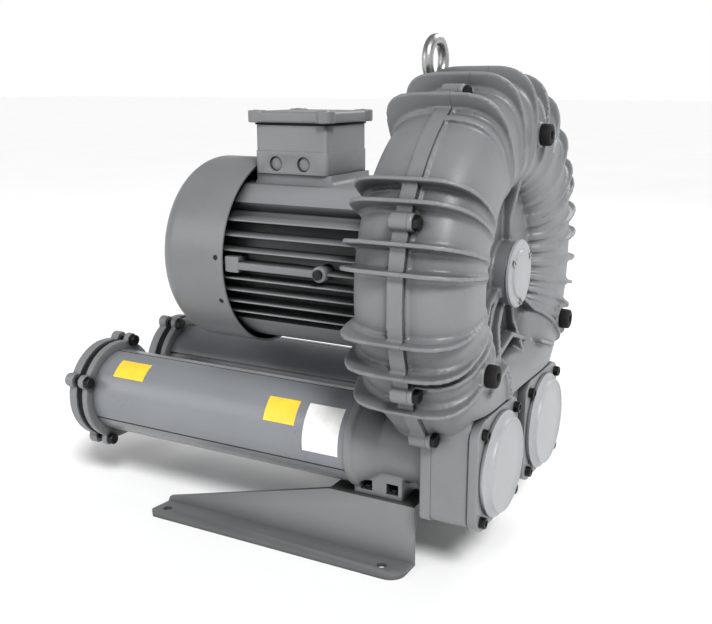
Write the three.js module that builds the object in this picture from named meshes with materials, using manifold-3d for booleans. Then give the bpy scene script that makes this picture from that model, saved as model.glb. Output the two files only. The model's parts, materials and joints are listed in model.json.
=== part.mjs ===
// Side-channel blower (ring compressor and vacuum pump): a finned electric motor drives an impeller
// inside a ring-shaped housing made of two castings, and two silencer tubes lie side by side below.
// Millimetres, +Z up. +X runs along the motor axis from the fan end to the front cover.
// The origin is on the floor, at the middle of the machine's length and width.
import * as THREE from "three";
import { mergeVertices } from "three/addons/utils/BufferGeometryUtils.js";
import Module from "manifold-3d";

const wasm = await Module();
wasm.setup();

// ---- Driving dimensions ----
const AXIS_Z = 307; // height of the motor axis above the floor
const HALF_LENGTH = 281; // the machine reaches this far both ways along X
const GAP = 0.3; // left between two pieces that touch
const RADIAL_SEGMENTS = 24;
const FACET_TOLERANCE = 0.08; // facets this close to flat are merged

// Motor
const COWL = { rear: -140, rim: -46, radius: 110, wall: 2.5, corner: 24 };
const FRAME = { rear: -74, front: 123, core: 86, tip: 104, bore: 78.3, fin: 4 };
const FIN_HEIGHTS = [48, 32, 16, 0, -15, -29, -43, -56]; // side fins, from the axis
const PAD = { top: 85, half: 58, skirt: 80, bottom: -95, bottomHalf: 36 };
const EARTH = { x: 75, boss: 8, face: -107 }; // screw boss on the near side
const CORE = { rear: -34, front: 76, bore: 52, outer: 78 };
const WINDING = { reach: 26, inner: 55, outer: 74 };
const ROTOR_CORE = { bore: 20.3, outer: 50 };
const BEARING = { bore: 15.3, inner: 19.5, pitch: 23, ball: 3, outer: 26.5, seat: 31, width: 16 };
const REAR_BEARING_X = -84;
const FRONT_BEARING_X = 133;
const SHIELD = { rear: -86, boss: -94, spigot: 84 };
const FAN = { rear: -123, front: -99, radius: 92, hub: 26, disc: 3.5, blades: 8 };
const SHAFT = { rear: -125, front: 227, core: 20, seat: 15, end: 14, tail: 11 };

// Terminal box, measured up from the motor axis
const BOX = { x0: -42, x1: 52, half: 47, floor: 96.3, top: 149.5, wall: 5 };
const LID = { overhang: 7.5, bottom: 152.1, top: 166 };
const PLUG = { xs: [-14, 22], z: 107.5, radius: 8, face: 2.4 };

// Ring housing: its tube is a rounded section swept round the axis, split at the joint plane
const JOINT_X = 216;
const TUBE = { centre: 140, radial: 53, round: 0.75 };
const CHANNEL = { centre: 140, radial: 41, round: 0.8 };
const FIN = { centre: 151, radial: 57 };
// How far each half reaches from the joint, along X, and how boxy its fins are
const FRONT_HALF = { side: 1, tube: 50, channel: 38, fin: 52, finRound: 0.7, ridge: 2.5, land: 42 };
const REAR_HALF = { side: -1, tube: 71, channel: 58, fin: 73, finRound: 0.42, ridge: 3.5, land: 48 };
const FIN_THICK = 4.5;
// Fins, in degrees above the horizontal: the two sides differ
const NEAR_FINS = [76, 61.5, 33, 27, 16, 8.6, -10, -19.5, -32];
const FAR_FINS = [90, 76, 61.5, 46, 33, 27, 16, 7, -3, -13, -22, -32];
const FLANGE = { ridge: 195.5, band: 200, depth: 16, top: 114, bottom: -168 };
const LUG = { circle: 200, radius: 9, front: 5, rear: 18, bolt: 4, head: 8.5 };
const BOLT_ANGLES = [68, 22, -26, -47];
const WEB = { gap: 14, thick: 7, radius: 96, clear: 102.5 };
const HUB = { radius: 33, front: 38, bore: 22 };
const RIB = { angles: [90, 204, 214, 244, 290, 324], height: 32, thick: 6 };
const NECK = { rear: 142.3, inner: 82, outer: 95 };
const FOOT = { circle: 144, angles: [84, -31, 212], boss: 13.5, radius: 11.5, start: 271 };
const SEAL = { radius: 25, bore: 14.8 };

// Impeller, from the joint plane: a disc with a ring of blades that runs across both side channels
const IMPELLER = { blades: 24, root: 114, tip: 158, half: 22, inner: 108, disc: 110, discHalf: 5, hub: 28 };
const STRIPPER = { half: 22, inner: 98, outer: 182, clear: 162, gap: 24 }; // the land between the ports

// Ports and silencers, measured from the floor
const PORT = { y: 72, z: 122.5, bore: 40 };
const BLOCK = { half: 56, bottom: 69.3, top: 196, front: 259, rear: 203 };
const PORT_FLANGE = { half: 59, cut: 20, x0: 257, x1: 267, roof: 184 };
const PORT_COVER = { radius: 55, depth: 11 };
const SILENCER = { radius: 51, wall: 4, rear: -239, front: 120 };
const SOCKET = { radius: 54, rear: 113, rim: 121, neck: 38, neckRear: 148, bore: 31 };
const LINER = { bore: 32, end: 6 };
const CAP = { radius: 62, ear: 8.5, earCircle: 64, front: 8, gasket: 8.4, plate: 12, boss: 38 };
const EAR_ANGLES = [67, 157, 247, 337]; // of the four tie bolts of the near silencer's cap
const THREAD_RADIUS = 29.5; // G2 port

// Brackets: Z-shaped folded plate under each silencer socket
const BRACKET = { thick: 5, web: 107, outer: 144, top: 69, inner: 62, x0: -143, x1: 189, step: 86 };
const BRACKET_HOLE = { xs: [-127, 161], y: 126, radius: 5.5 };
const SHOE = { x0: 113, x1: 172, y0: 100, y1: 60, top: 104 };
const SHOE_BOLT = { xs: [129, 160], y: 91, size: 6, pad: 5, pocket: 12, width: 7 };

// Lifting eye
const EYE = { x: 157, ring: 21, wire: 6, collar: 14, seat: 192, centre: 218, shank: 6 };

// ---- Materials ----
const paint = (color, roughness, metalness) =>
  new THREE.MeshStandardMaterial({ color, roughness, metalness });
const MATERIAL = {
  casting: paint(0x8f9193, 0.55, 0.35),
  motor: paint(0x85878a, 0.5, 0.3),
  cowl: paint(0x8c8e91, 0.4, 0.3),
  silencer: paint(0x75787c, 0.38, 0.4),
  cover: paint(0xa9abad, 0.45, 0.3),
  bracket: paint(0x7c7e80, 0.6, 0.3),
  rubber: paint(0x141414, 0.85, 0),
  steel: paint(0xb4b6b8, 0.35, 0.9),
  shaft: paint(0xc2c4c6, 0.25, 1),
  aluminium: paint(0xc9cbcd, 0.4, 0.9),
  laminate: paint(0x6a6c70, 0.5, 0.8),
  copper: paint(0xb5703a, 0.4, 0.9),
  plastic: paint(0x26282a, 0.6, 0),
  foam: paint(0x55575a, 0.95, 0),
};

// ---- Solids from three.js geometries ----
const radians = THREE.MathUtils.degToRad;

// A closed three.js geometry as a manifold-3d solid that faces outwards.
function solid(geometry) {
  const bare = new THREE.BufferGeometry();
  bare.setAttribute("position", geometry.getAttribute("position"));
  if (geometry.index) bare.setIndex(geometry.index);
  const merged = mergeVertices(bare, 1e-4);
  const index = merged.index.array;
  const corners = [];
  for (let i = 0; i < index.length; i += 3) {
    const [a, b, c] = index.subarray(i, i + 3);
    if (a !== b && b !== c && c !== a) corners.push(a, b, c);
  }
  const vertProperties = merged.attributes.position.array;
  const build = (triVerts) => new wasm.Manifold(new wasm.Mesh({ numProp: 3, vertProperties, triVerts }));
  const made = build(Uint32Array.from(corners));
  return made.volume() < 0 ? build(Uint32Array.from(corners.reverse())) : made;
}

function geometryOf(body) {
  const mesh = body.simplify(FACET_TOLERANCE).getMesh();
  const geometry = new THREE.BufferGeometry();
  geometry.setAttribute("position", new THREE.BufferAttribute(mesh.vertProperties, 3));
  geometry.setIndex(new THREE.BufferAttribute(mesh.triVerts, 1));
  geometry.computeVertexNormals();
  return geometry;
}

const join = (bodies) => bodies.reduce((whole, body) => whole.add(body));
const cut = (body, tools) => tools.reduce((left, tool) => left.subtract(tool), body);
const farSide = (body) => body.mirror([0, 1, 0]);

function box(x0, x1, y0, y1, z0, z1) {
  const geometry = new THREE.BoxGeometry(x1 - x0, y1 - y0, z1 - z0);
  return solid(geometry.translate((x0 + x1) / 2, (y0 + y1) / 2, (z0 + z1) / 2));
}

// A round bar from one point along X, Y or Z to another.
function bar(axis, radius, from, to, segments = RADIAL_SEGMENTS) {
  const geometry = new THREE.CylinderGeometry(radius, radius, to - from, segments);
  geometry.translate(0, (from + to) / 2, 0);
  if (axis === "x") geometry.rotateZ(-Math.PI / 2);
  if (axis === "z") geometry.rotateX(Math.PI / 2);
  return solid(geometry);
}

// A closed outline of [x, radius] points turned about the X axis.
function turn(outline, segments = RADIAL_SEGMENTS) {
  const points = [...outline, outline[0]].map(([x, radius]) => new THREE.Vector2(radius, x));
  return solid(new THREE.LatheGeometry(points, segments).rotateZ(-Math.PI / 2));
}

// A ring about the X axis.
const ring = (x0, x1, inner, outer, segments) =>
  turn([[x0, inner], [x0, outer], [x1, outer], [x1, inner]], segments);

function extrude(outline, depth) {
  const shape = new THREE.Shape(outline.map(([u, v]) => new THREE.Vector2(u, v)));
  return new THREE.ExtrudeGeometry(shape, { depth, bevelEnabled: false });
}

// [y, z] outline pulled along X.
function prismX(outline, x0, x1) {
  const turned = new THREE.Matrix4().makeBasis(
    new THREE.Vector3(0, 1, 0),
    new THREE.Vector3(0, 0, 1),
    new THREE.Vector3(1, 0, 0),
  );
  return solid(extrude(outline, x1 - x0).applyMatrix4(turned).translate(x0, 0, 0));
}

// [x, z] outline pulled along Y.
function prismY(outline, y0, y1) {
  return solid(extrude(outline, y1 - y0).rotateX(Math.PI / 2).translate(0, y1, 0));
}

// [x, y] outline pulled along Z.
const prismZ = (outline, z0, z1) => solid(extrude(outline, z1 - z0).translate(0, 0, z0));

// Half of a rounded section, as [axial, radial] points from its outer edge to its inner one.
function halfSection({ centre, radial, axial, round }, steps) {
  const points = [];
  for (let i = 0; i <= steps; i++) {
    const c = Math.cos((Math.PI * i) / steps);
    const s = Math.sin((Math.PI * i) / steps);
    points.push([axial * Math.abs(s) ** round, centre + radial * Math.sign(c) * Math.abs(c) ** round]);
  }
  return points;
}

// Hexagon-headed screw along +X: the head is behind the origin's plane, the shank ahead of it.
function hexScrew(size, length) {
  const head = bar("x", size * 0.95, -size * 0.65, 0, 6);
  return head.add(bar("x", size / 2, -0.01, length, 12));
}

// ---- The scene graph ----
const machine = new THREE.Group();
const onAxis = new THREE.Group(); // the motor and the blower, about the motor axis
onAxis.position.z = AXIS_Z;
const rotor = new THREE.Group(); // everything that turns with the shaft
onAxis.add(rotor);
machine.add(onAxis);

function addMesh(parent, name, body, material) {
  const mesh = new THREE.Mesh(geometryOf(body), material);
  mesh.name = name;
  parent.add(mesh);
  return mesh;
}

// ---- Motor ----
const coreY = (height) => Math.sqrt(FRAME.core ** 2 - height ** 2);
const tipY = (height) => Math.sqrt(FRAME.tip ** 2 - height ** 2);

// Cross-section of the motor frame: a smooth top pad, parallel side fins and a smooth bottom pad.
function frameOutline() {
  const side = [[PAD.half, PAD.top], [PAD.skirt, 62], [coreY(57), 57]];
  for (const height of FIN_HEIGHTS) {
    const top = height + FRAME.fin / 2;
    const bottom = height - FRAME.fin / 2;
    side.push([coreY(top), top], [tipY(top), top], [tipY(bottom), bottom], [coreY(bottom), bottom]);
  }
  side.push([coreY(-62), -62], [77, -66], [62, -81], [PAD.bottomHalf, PAD.bottom]);
  const otherSide = side.map(([y, z]) => [-y, z]).reverse();
  return [...side, ...otherSide];
}

function statorFrame() {
  const root = -FRAME.core + 5;
  const body = join([
    prismX(frameOutline(), FRAME.rear, FRAME.front),
    box(BOX.x0 + 3, BOX.x1 - 3, -44, 44, PAD.top - 1, BOX.floor - GAP),
    box(COWL.rim + 1, EARTH.x, EARTH.face + 1, root, -4, 4),
    bar("y", EARTH.boss, EARTH.face, root, 16).translate([EARTH.x, 0, 0]),
    box(COWL.rim + 1, COWL.rim + 17, EARTH.face, root, -8, 9),
  ]);
  return cut(body, [
    bar("x", FRAME.bore, FRAME.rear - 1, FRAME.front + 1),
    bar("y", 3.3, EARTH.face - 1, EARTH.face + 12, 10).translate([EARTH.x, 0, 0]),
  ]);
}

function fanCowl() {
  const { rear, rim, radius, wall, corner } = COWL;
  const arc = (r, from) => [0, 45, 90].map((degrees) => {
    const a = radians(degrees);
    return [from + corner - r * Math.sin(a), radius - corner + r * Math.cos(a)];
  });
  const outside = [[rim, radius], ...arc(corner, rear), [rear, 0]];
  const inside = [[rear + wall, 0], ...arc(corner - wall, rear).reverse(), [rim, radius - wall]];
  const slots = [];
  for (let i = 0; i < 10; i++) {
    slots.push(box(rear - 1, rear + wall + 1, -4, 4, 30, 78).rotate([i * 36, 0, 0]));
  }
  return cut(turn([...outside, ...inside]), slots);
}

function endShield(x0, x1, radius, bossX0, bossX1, bore) {
  const disc = bar("x", radius, x0, x1);
  const boss = bar("x", BEARING.seat + 9, bossX0, bossX1, 24);
  return cut(disc.add(boss), [bar("x", bore, bossX0 - 1, Math.max(x1, bossX1) + 1)]);
}

function addMotor() {
  addMesh(onAxis, "stator_frame", statorFrame(), MATERIAL.motor);
  addMesh(onAxis, "fan_cowl", fanCowl(), MATERIAL.cowl);
  const seat = BEARING.seat + GAP;
  const rearEnd = FRAME.rear - GAP;
  const rearShield = endShield(SHIELD.rear, rearEnd, SHIELD.spigot, SHIELD.boss, rearEnd, seat);
  addMesh(onAxis, "rear_end_shield", rearShield, MATERIAL.motor);
  const frontEnds = [FRAME.front + GAP, NECK.rear - GAP];
  const frontShield = endShield(...frontEnds, NECK.outer, ...frontEnds, seat);
  addMesh(onAxis, "front_end_shield", frontShield, MATERIAL.motor);
  addMesh(onAxis, "stator_core", ring(CORE.rear, CORE.front, CORE.bore, CORE.outer), MATERIAL.laminate);
  const winding = (from, to) => ring(from, to, WINDING.inner, WINDING.outer);
  const rearWinding = winding(CORE.rear - WINDING.reach, CORE.rear - GAP);
  const frontWinding = winding(CORE.front + GAP, CORE.front + WINDING.reach);
  addMesh(onAxis, "winding_rear", rearWinding, MATERIAL.copper);
  addMesh(onAxis, "winding_front", frontWinding, MATERIAL.copper);
  const head = bar("y", 6.5, EARTH.face - 4, EARTH.face - GAP, 6);
  const earthScrew = head.add(bar("y", 3, EARTH.face - 0.5, EARTH.face + 9, 10));
  addMesh(onAxis, "earth_screw", earthScrew, MATERIAL.steel).position.x = EARTH.x;
}

function addTerminalBox() {
  const { x0, x1, half, floor, top, wall } = BOX;
  const recesses = PLUG.xs.map((x) =>
    bar("y", PLUG.radius + GAP, -half - 1, -half + 4, 20).translate([x, 0, PLUG.z]),
  );
  const inside = box(x0 + wall, x1 - wall, -half + wall, half - wall, floor + wall, top + 1);
  const base = cut(box(x0, x1, -half, half, floor, top), [inside, ...recesses]);
  addMesh(onAxis, "terminal_box", base, MATERIAL.motor);
  const gasketHole = box(x0 + wall, x1 - wall, -half + wall, half - wall, top, LID.bottom);
  const gasket = box(x0 + 1, x1 - 1, -half + 1, half - 1, top + GAP, LID.bottom - GAP);
  addMesh(onAxis, "terminal_box_gasket", gasket.subtract(gasketHole), MATERIAL.rubber);
  const reach = half + LID.overhang;
  const lid = box(x0 - LID.overhang, x1 + LID.overhang, -reach, reach, LID.bottom, LID.top);
  addMesh(onAxis, "terminal_box_lid", lid, MATERIAL.cover);
  const middle = (x0 + x1) / 2;
  const board = [box(middle - 20, middle + 20, -20, 20, floor + wall + GAP, floor + wall + 10)];
  const post = bar("z", 2.5, floor + wall + 9, floor + wall + 22, 8);
  for (const x of [-11, 0, 11]) {
    for (const y of [-10, 10]) board.push(post.translate([middle + x, y, 0]));
  }
  addMesh(onAxis, "terminal_board", join(board), MATERIAL.plastic);
  PLUG.xs.forEach((x, i) => {
    const plug = bar("y", PLUG.radius, PLUG.face, PLUG.face + 1.3, 18);
    const mesh = addMesh(onAxis, `cable_entry_plug_${i + 1}`, plug, MATERIAL.plastic);
    mesh.position.set(x, -half, PLUG.z);
  });
}

// ---- Rotor ----
function shaft() {
  const { rear, front, core, seat, end, tail } = SHAFT;
  const shoulder = 11; // past the middle of each bearing
  const steps = [
    [REAR_BEARING_X - 14, tail],
    [REAR_BEARING_X + shoulder, seat],
    [FRONT_BEARING_X - shoulder - 2, core],
    [FRONT_BEARING_X + 12, seat],
    [front, end],
  ];
  const outline = [[rear, 0]];
  let x = rear;
  for (const [to, radius] of steps) {
    outline.push([x, radius], [to, radius]);
    x = to;
  }
  outline.push([front, 0]);
  return turn(outline, 20).subtract(bar("x", 4.3, front - 18, front + 1, 12));
}

function impeller() {
  const { blades, root, tip, half, inner, disc, discHalf, hub } = IMPELLER;
  const corners = [[root, -0.2], [tip, -0.13], [tip, 0.13], [root, 0.2]]; // radius, share of a blade's pitch
  const outline = [];
  for (let i = 0; i < blades; i++) {
    for (const [radius, share] of corners) {
      const a = ((i + share) * 2 * Math.PI) / blades;
      outline.push([radius * Math.cos(a), radius * Math.sin(a)]);
    }
  }
  const rim = prismX(outline, JOINT_X - half, JOINT_X + half);
  const body = join([
    rim.subtract(bar("x", inner, JOINT_X - half - 1, JOINT_X + half + 1)),
    bar("x", disc, JOINT_X - discHalf, JOINT_X + discHalf),
    bar("x", hub, JOINT_X - 11, JOINT_X + 13, 24),
  ]);
  return body.subtract(bar("x", SHAFT.end + GAP, JOINT_X - 14, JOINT_X + 14, 20));
}

function coolingFan() {
  const { rear, front, radius, hub, disc } = FAN;
  const blades = [];
  for (let i = 0; i < FAN.blades; i++) {
    blades.push(box(rear + 2, front - 1, -1.5, 1.5, 20, radius).rotate([(i * 360) / FAN.blades, 0, 0]));
  }
  const body = join([bar("x", hub, rear, front, 20), bar("x", radius - 4, front - disc, front, 32), ...blades]);
  return body.subtract(bar("x", SHAFT.tail + GAP, rear - 1, front + 1, 16));
}

// Balls in their cage: a thin ring that the balls are set in.
function ballCage() {
  const balls = [ring(-1.5, 1.5, BEARING.pitch - 1, BEARING.pitch + 1, 12)];
  for (let i = 0; i < 8; i++) {
    const ball = solid(new THREE.SphereGeometry(BEARING.ball, 4, 3));
    balls.push(ball.translate([0, BEARING.pitch, 0]).rotate([i * 45, 0, 0]));
  }
  return join(balls);
}

function addRotor() {
  const rotorCore = ring(CORE.rear, CORE.front, ROTOR_CORE.bore, ROTOR_CORE.outer, 28);
  addMesh(rotor, "motor_shaft", shaft(), MATERIAL.shaft);
  addMesh(rotor, "rotor_core", rotorCore, MATERIAL.laminate);
  addMesh(rotor, "cooling_fan", coolingFan(), MATERIAL.plastic);
  addMesh(rotor, "impeller", impeller(), MATERIAL.aluminium);
  const washer = bar("x", 12, 2 + GAP, 5, 16);
  const bolt = join([washer, bar("x", 8, 4.5, 11, 6), bar("x", 4, -14, 4, 10)]);
  addMesh(rotor, "impeller_bolt", bolt, MATERIAL.steel).position.x = SHAFT.front;
}

function addBearing(place, x) {
  const { bore, inner, outer, seat, width } = BEARING;
  const pieces = [
    [onAxis, `${place}_bearing_outer_ring`, ring(-width / 2, width / 2, outer, seat, 16)],
    [rotor, `${place}_bearing_inner_ring`, ring(-width / 2, width / 2, bore, inner, 16)],
    [onAxis, `${place}_bearing_balls`, ballCage()],
  ];
  for (const [parent, name, body] of pieces) addMesh(parent, name, body, MATERIAL.steel).position.x = x;
}

// ---- Blower castings, about the motor axis ----
const portZ = PORT.z - AXIS_Z;

// A meridional cooling fin on one half of the ring.
function ringFin({ side, fin, finRound }, angle) {
  const outline = halfSection({ ...FIN, axial: fin, round: finRound }, 4).map(([x, r]) => [side * x, r]);
  const plate = prismY(outline, -FIN_THICK / 2, FIN_THICK / 2);
  return plate.rotate([angle - 90, 0, 0]);
}

const finAngles = [...FAR_FINS, ...NEAR_FINS.map((a) => 180 - a)];
const boltAngles = BOLT_ANGLES.flatMap((a) => [a, 180 - a]);
const atAngle = (angle, radius) => [0, radius * Math.cos(radians(angle)), radius * Math.sin(radians(angle))];

const lugLength = ({ side }) => (side > 0 ? LUG.front : LUG.rear);

// Two distances from the joint plane, which is x = 0, as a span along X on one half.
const spanOf = ({ side }) => (from, to) => (side > 0 ? [from, to] : [-to, -from]);

const flangeInside = TUBE.centre + TUBE.radial - 6;

// Half of the ring's tube, filled.
function tubeHalf({ side, tube }) {
  const section = halfSection({ ...TUBE, axial: tube }, 6);
  return turn(section.map(([x, r]) => [side * Math.max(x, GAP / 2), r]));
}

// What the two castings share: the ring's wall, web, fins, joint flange and lugs.
function ringHalf(half) {
  const span = spanOf(half);
  const face = GAP / 2;
  const pieces = [tubeHalf(half), bar("x", WEB.radius, ...span(face, WEB.gap + WEB.thick))];
  pieces.push(ring(...span(face, half.ridge), flangeInside, FLANGE.ridge));
  pieces.push(...finAngles.map((angle) => ringFin(half, angle)));
  for (const angle of boltAngles) {
    const lug = bar("x", LUG.radius, ...span(face, lugLength(half)), 10);
    pieces.push(lug.translate(atAngle(angle, LUG.circle)));
  }
  return join(pieces).subtract(box(...span(-200, face), -300, 300, -300, 300));
}

// The broad band of the joint flange, low on both sides of the rear casting.
function flangeBand() {
  const whole = ring(-FLANGE.depth, -GAP / 2, flangeInside, FLANGE.band);
  return whole.intersect(box(-FLANGE.depth, 0, -FLANGE.band, FLANGE.band, FLANGE.bottom, FLANGE.top));
}

// The space inside the ring: the side channel, the impeller's gap and the bolt holes.
function ringHollow(half, webBore) {
  const { side } = half;
  const span = spanOf(half);
  const length = lugLength(half);
  const channel = halfSection({ ...CHANNEL, axial: half.channel }, 4).map(([x, r]) => [side * x, r]);
  const tools = [turn([[-side, channel[0][1]], ...channel, [-side, channel.at(-1)[1]]])];
  tools.push(bar("x", WEB.clear, ...span(-1, WEB.gap)), bar("x", webBore, ...span(0, 60), 24));
  for (const angle of boltAngles) {
    const hole = bar("x", LUG.bolt + GAP, ...span(-1, length + 1), 8);
    const headRoom = bar("x", LUG.head, ...span(length, length + 14), 8);
    tools.push(hole.add(headRoom).translate(atAngle(angle, LUG.circle)));
  }
  return tools;
}

// The land that closes the channel between the outlet and the inlet, clear of the impeller.
function stripper(half) {
  const { half: reach, inner, outer, clear, gap } = STRIPPER;
  const land = box(...spanOf(half)(GAP / 2, half.land), -reach, reach, -outer, -inner);
  return land.intersect(tubeHalf(half)).subtract(bar("x", clear, -gap, gap));
}

// The duct from the channel down to the port's bore, on the near side.
const duct = (x0, x1) => box(x0, x1, -PORT.y - 26, -PORT.y + 26, portZ, -125);

// Square with cut corners, as [y, z] points.
function octagon(half, corner) {
  const inner = half - corner;
  const upper = [[half, -inner], [half, inner], [inner, half], [-inner, half]];
  return [...upper, ...upper.map(([y, z]) => [-y, -z])];
}

// The near port's block on the front cover, with its flange; the space in front of it is cleared first.
function frontPort() {
  const local = (x) => x - JOINT_X;
  const { half, cut: corner, x0, x1, roof } = PORT_FLANGE;
  const bottom = BLOCK.bottom - AXIS_Z;
  const top = BLOCK.top - AXIS_Z;
  const clearing = box(local(x1), local(HALF_LENGTH), -PORT.y - half, 1, -AXIS_Z, roof - AXIS_Z);
  const body = join([
    box(GAP / 2, local(BLOCK.front), -PORT.y - BLOCK.half, -PORT.y + BLOCK.half, bottom, top),
    prismX(octagon(half, corner), local(x0), local(x1)).translate([0, -PORT.y, portZ]),
  ]);
  const bore = bar("x", PORT.bore, -1, local(x1) + 1, 28).translate([0, -PORT.y, portZ]);
  return { clearing, body, hollow: bore.add(duct(-1, FRONT_HALF.channel - 1)) };
}

function frontCover() {
  const blocks = [];
  const port = frontPort();
  const local = (x) => x - JOINT_X;
  blocks.push(port.body, farSide(port.body));
  for (const angle of RIB.angles) {
    const rib = box(WEB.gap + 1, RIB.height, -RIB.thick / 2, RIB.thick / 2, HUB.radius - 3, 104);
    blocks.push(rib.rotate([angle - 90, 0, 0]));
  }
  blocks.push(bar("x", HUB.radius, WEB.gap + 1, HUB.front, 28));
  for (const angle of FOOT.angles) {
    const boss = bar("x", FOOT.boss, FRONT_HALF.tube - 8, local(FOOT.start) - GAP, 20);
    blocks.push(boss.translate(atAngle(angle, FOOT.circle)));
  }
  const clearings = [port.clearing, farSide(port.clearing)];
  const hollows = [...ringHollow(FRONT_HALF, HUB.bore), port.hollow, farSide(port.hollow)];
  const shell = cut(join([ringHalf(FRONT_HALF), ...blocks]), [...clearings, ...hollows]);
  return shell.add(stripper(FRONT_HALF));
}

// The near port on the rear casting, from the floor: a flange block at the joint, a neck that flares
// back to the silencer tube, and the shoe that stands on the bracket.
function rearPort() {
  const local = (x) => x - JOINT_X;
  const { half, top, rear } = BLOCK;
  const { radius, rim, neck, neckRear } = SOCKET;
  const pad = BRACKET.top + GAP;
  const outline = [[SOCKET.rear, 0], [SOCKET.rear, radius], [rim, radius], [neckRear, neck]];
  outline.push([rear + 1, neck], [rear + 1, 0]);
  const flare = turn(outline.map(([x, r]) => [local(x), r]));
  const whole = join([
    box(local(rear), -GAP / 2, -PORT.y - half, -PORT.y + half, BLOCK.bottom, top - 8),
    flare.translate([0, -PORT.y, PORT.z]),
    box(local(SHOE.x0), local(SHOE.x1), -SHOE.y0, -SHOE.y1, pad, SHOE.top),
  ]);
  const tools = [box(-200, local(rear), -PORT.y - 70, 0, 0, pad)];
  for (const x of SHOE_BOLT.xs) {
    const { y, size, width, pocket } = SHOE_BOLT;
    const floor = pad + SHOE_BOLT.pad;
    const span = [local(x) - width, local(x) + width];
    tools.push(box(...span, -SHOE.y0 - 1, -y + width, floor, floor + pocket));
    tools.push(bar("z", size / 2 + GAP, 0, floor + 1, 12).translate([local(x), -y, 0]));
  }
  return cut(whole, tools).translate([0, 0, -AXIS_Z]);
}

// The casting behind the joint: it carries the motor, the silencer sockets and their shoes.
function rearHousing() {
  const local = (x) => x - JOINT_X;
  const block = rearPort();
  const ductRear = local(BLOCK.rear) + 4;
  const hollow = join([
    bar("x", SOCKET.bore, local(SOCKET.rear) - 1, 1, 28),
    bar("x", PORT.bore, ductRear, 1, 28),
    bar("x", SILENCER.radius + GAP, local(SOCKET.rear) - 1, local(SILENCER.front) + GAP),
  ]).translate([0, -PORT.y, portZ]).add(duct(ductRear, 1));
  const neck = ring(local(NECK.rear), -20, NECK.inner, NECK.outer);
  const boss = bar("x", 16, 150, EYE.seat - GAP, 20);
  const eyeBoss = boss.rotate([0, -90, 0]).translate([local(EYE.x), 0, 0]);
  const eyeHole = bar("z", EYE.shank + GAP, 170, EYE.seat, 12).add(bar("z", 16, EYE.seat - GAP, 230, 20));
  const body = join([ringHalf(REAR_HALF), flangeBand(), block, farSide(block), neck, eyeBoss]);
  const hollows = [...ringHollow(REAR_HALF, SEAL.radius + GAP), hollow, farSide(hollow)];
  const shell = cut(body, [...hollows, eyeHole.translate([local(EYE.x), 0, 0])]);
  return shell.add(stripper(REAR_HALF));
}

function addBlower() {
  const castings = new THREE.Group(); // the joint plane is this group's origin
  castings.position.x = JOINT_X;
  onAxis.add(castings);
  addMesh(castings, "blower_front_cover", frontCover(), MATERIAL.casting);
  addMesh(castings, "blower_rear_housing", rearHousing(), MATERIAL.casting);
  const seal = ring(-WEB.gap - WEB.thick + 1, -WEB.gap - 1, SEAL.bore, SEAL.radius, 24);
  addMesh(castings, "shaft_seal", seal, MATERIAL.rubber);
  const cover = bar("x", HUB.radius + 2, HUB.front + GAP, HUB.front + 5, 28);
  const hubCover = cover.add(bar("x", HUB.radius - 9, HUB.front + 5, HUB.front + 7, 24));
  addMesh(castings, "hub_cover", hubCover, MATERIAL.cover);
  const bolt = hexScrew(2 * LUG.bolt, LUG.front + LUG.rear - 2).rotate([0, 0, 180]);
  boltAngles.forEach((angle, i) => {
    const mesh = addMesh(castings, `joint_bolt_${i + 1}`, bolt, MATERIAL.steel);
    const [, y, z] = atAngle(angle, LUG.circle);
    mesh.position.set(LUG.front + GAP, y, z);
  });
  FOOT.angles.forEach((angle, i) => {
    const foot = bar("x", FOOT.radius, FOOT.start - JOINT_X, HALF_LENGTH - JOINT_X, 24);
    const [, y, z] = atAngle(angle, FOOT.circle);
    addMesh(castings, `rubber_foot_${i + 1}`, foot, MATERIAL.rubber).position.set(0, y, z);
  });
}

// ---- Silencers, each about its own axis ----
// A cap's round plate, with an ear for each tie bolt.
function capPlate(side, x0, x1, bore) {
  const plate = [bar("x", CAP.radius, x0, x1)];
  for (const angle of EAR_ANGLES) {
    const [, y, z] = atAngle(angle, CAP.earCircle);
    plate.push(bar("x", CAP.ear, x0, x1, 10).translate([0, -side * y, z]));
  }
  return join(plate).subtract(bar("x", bore, x0 - 1, x1 + 1));
}

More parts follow.
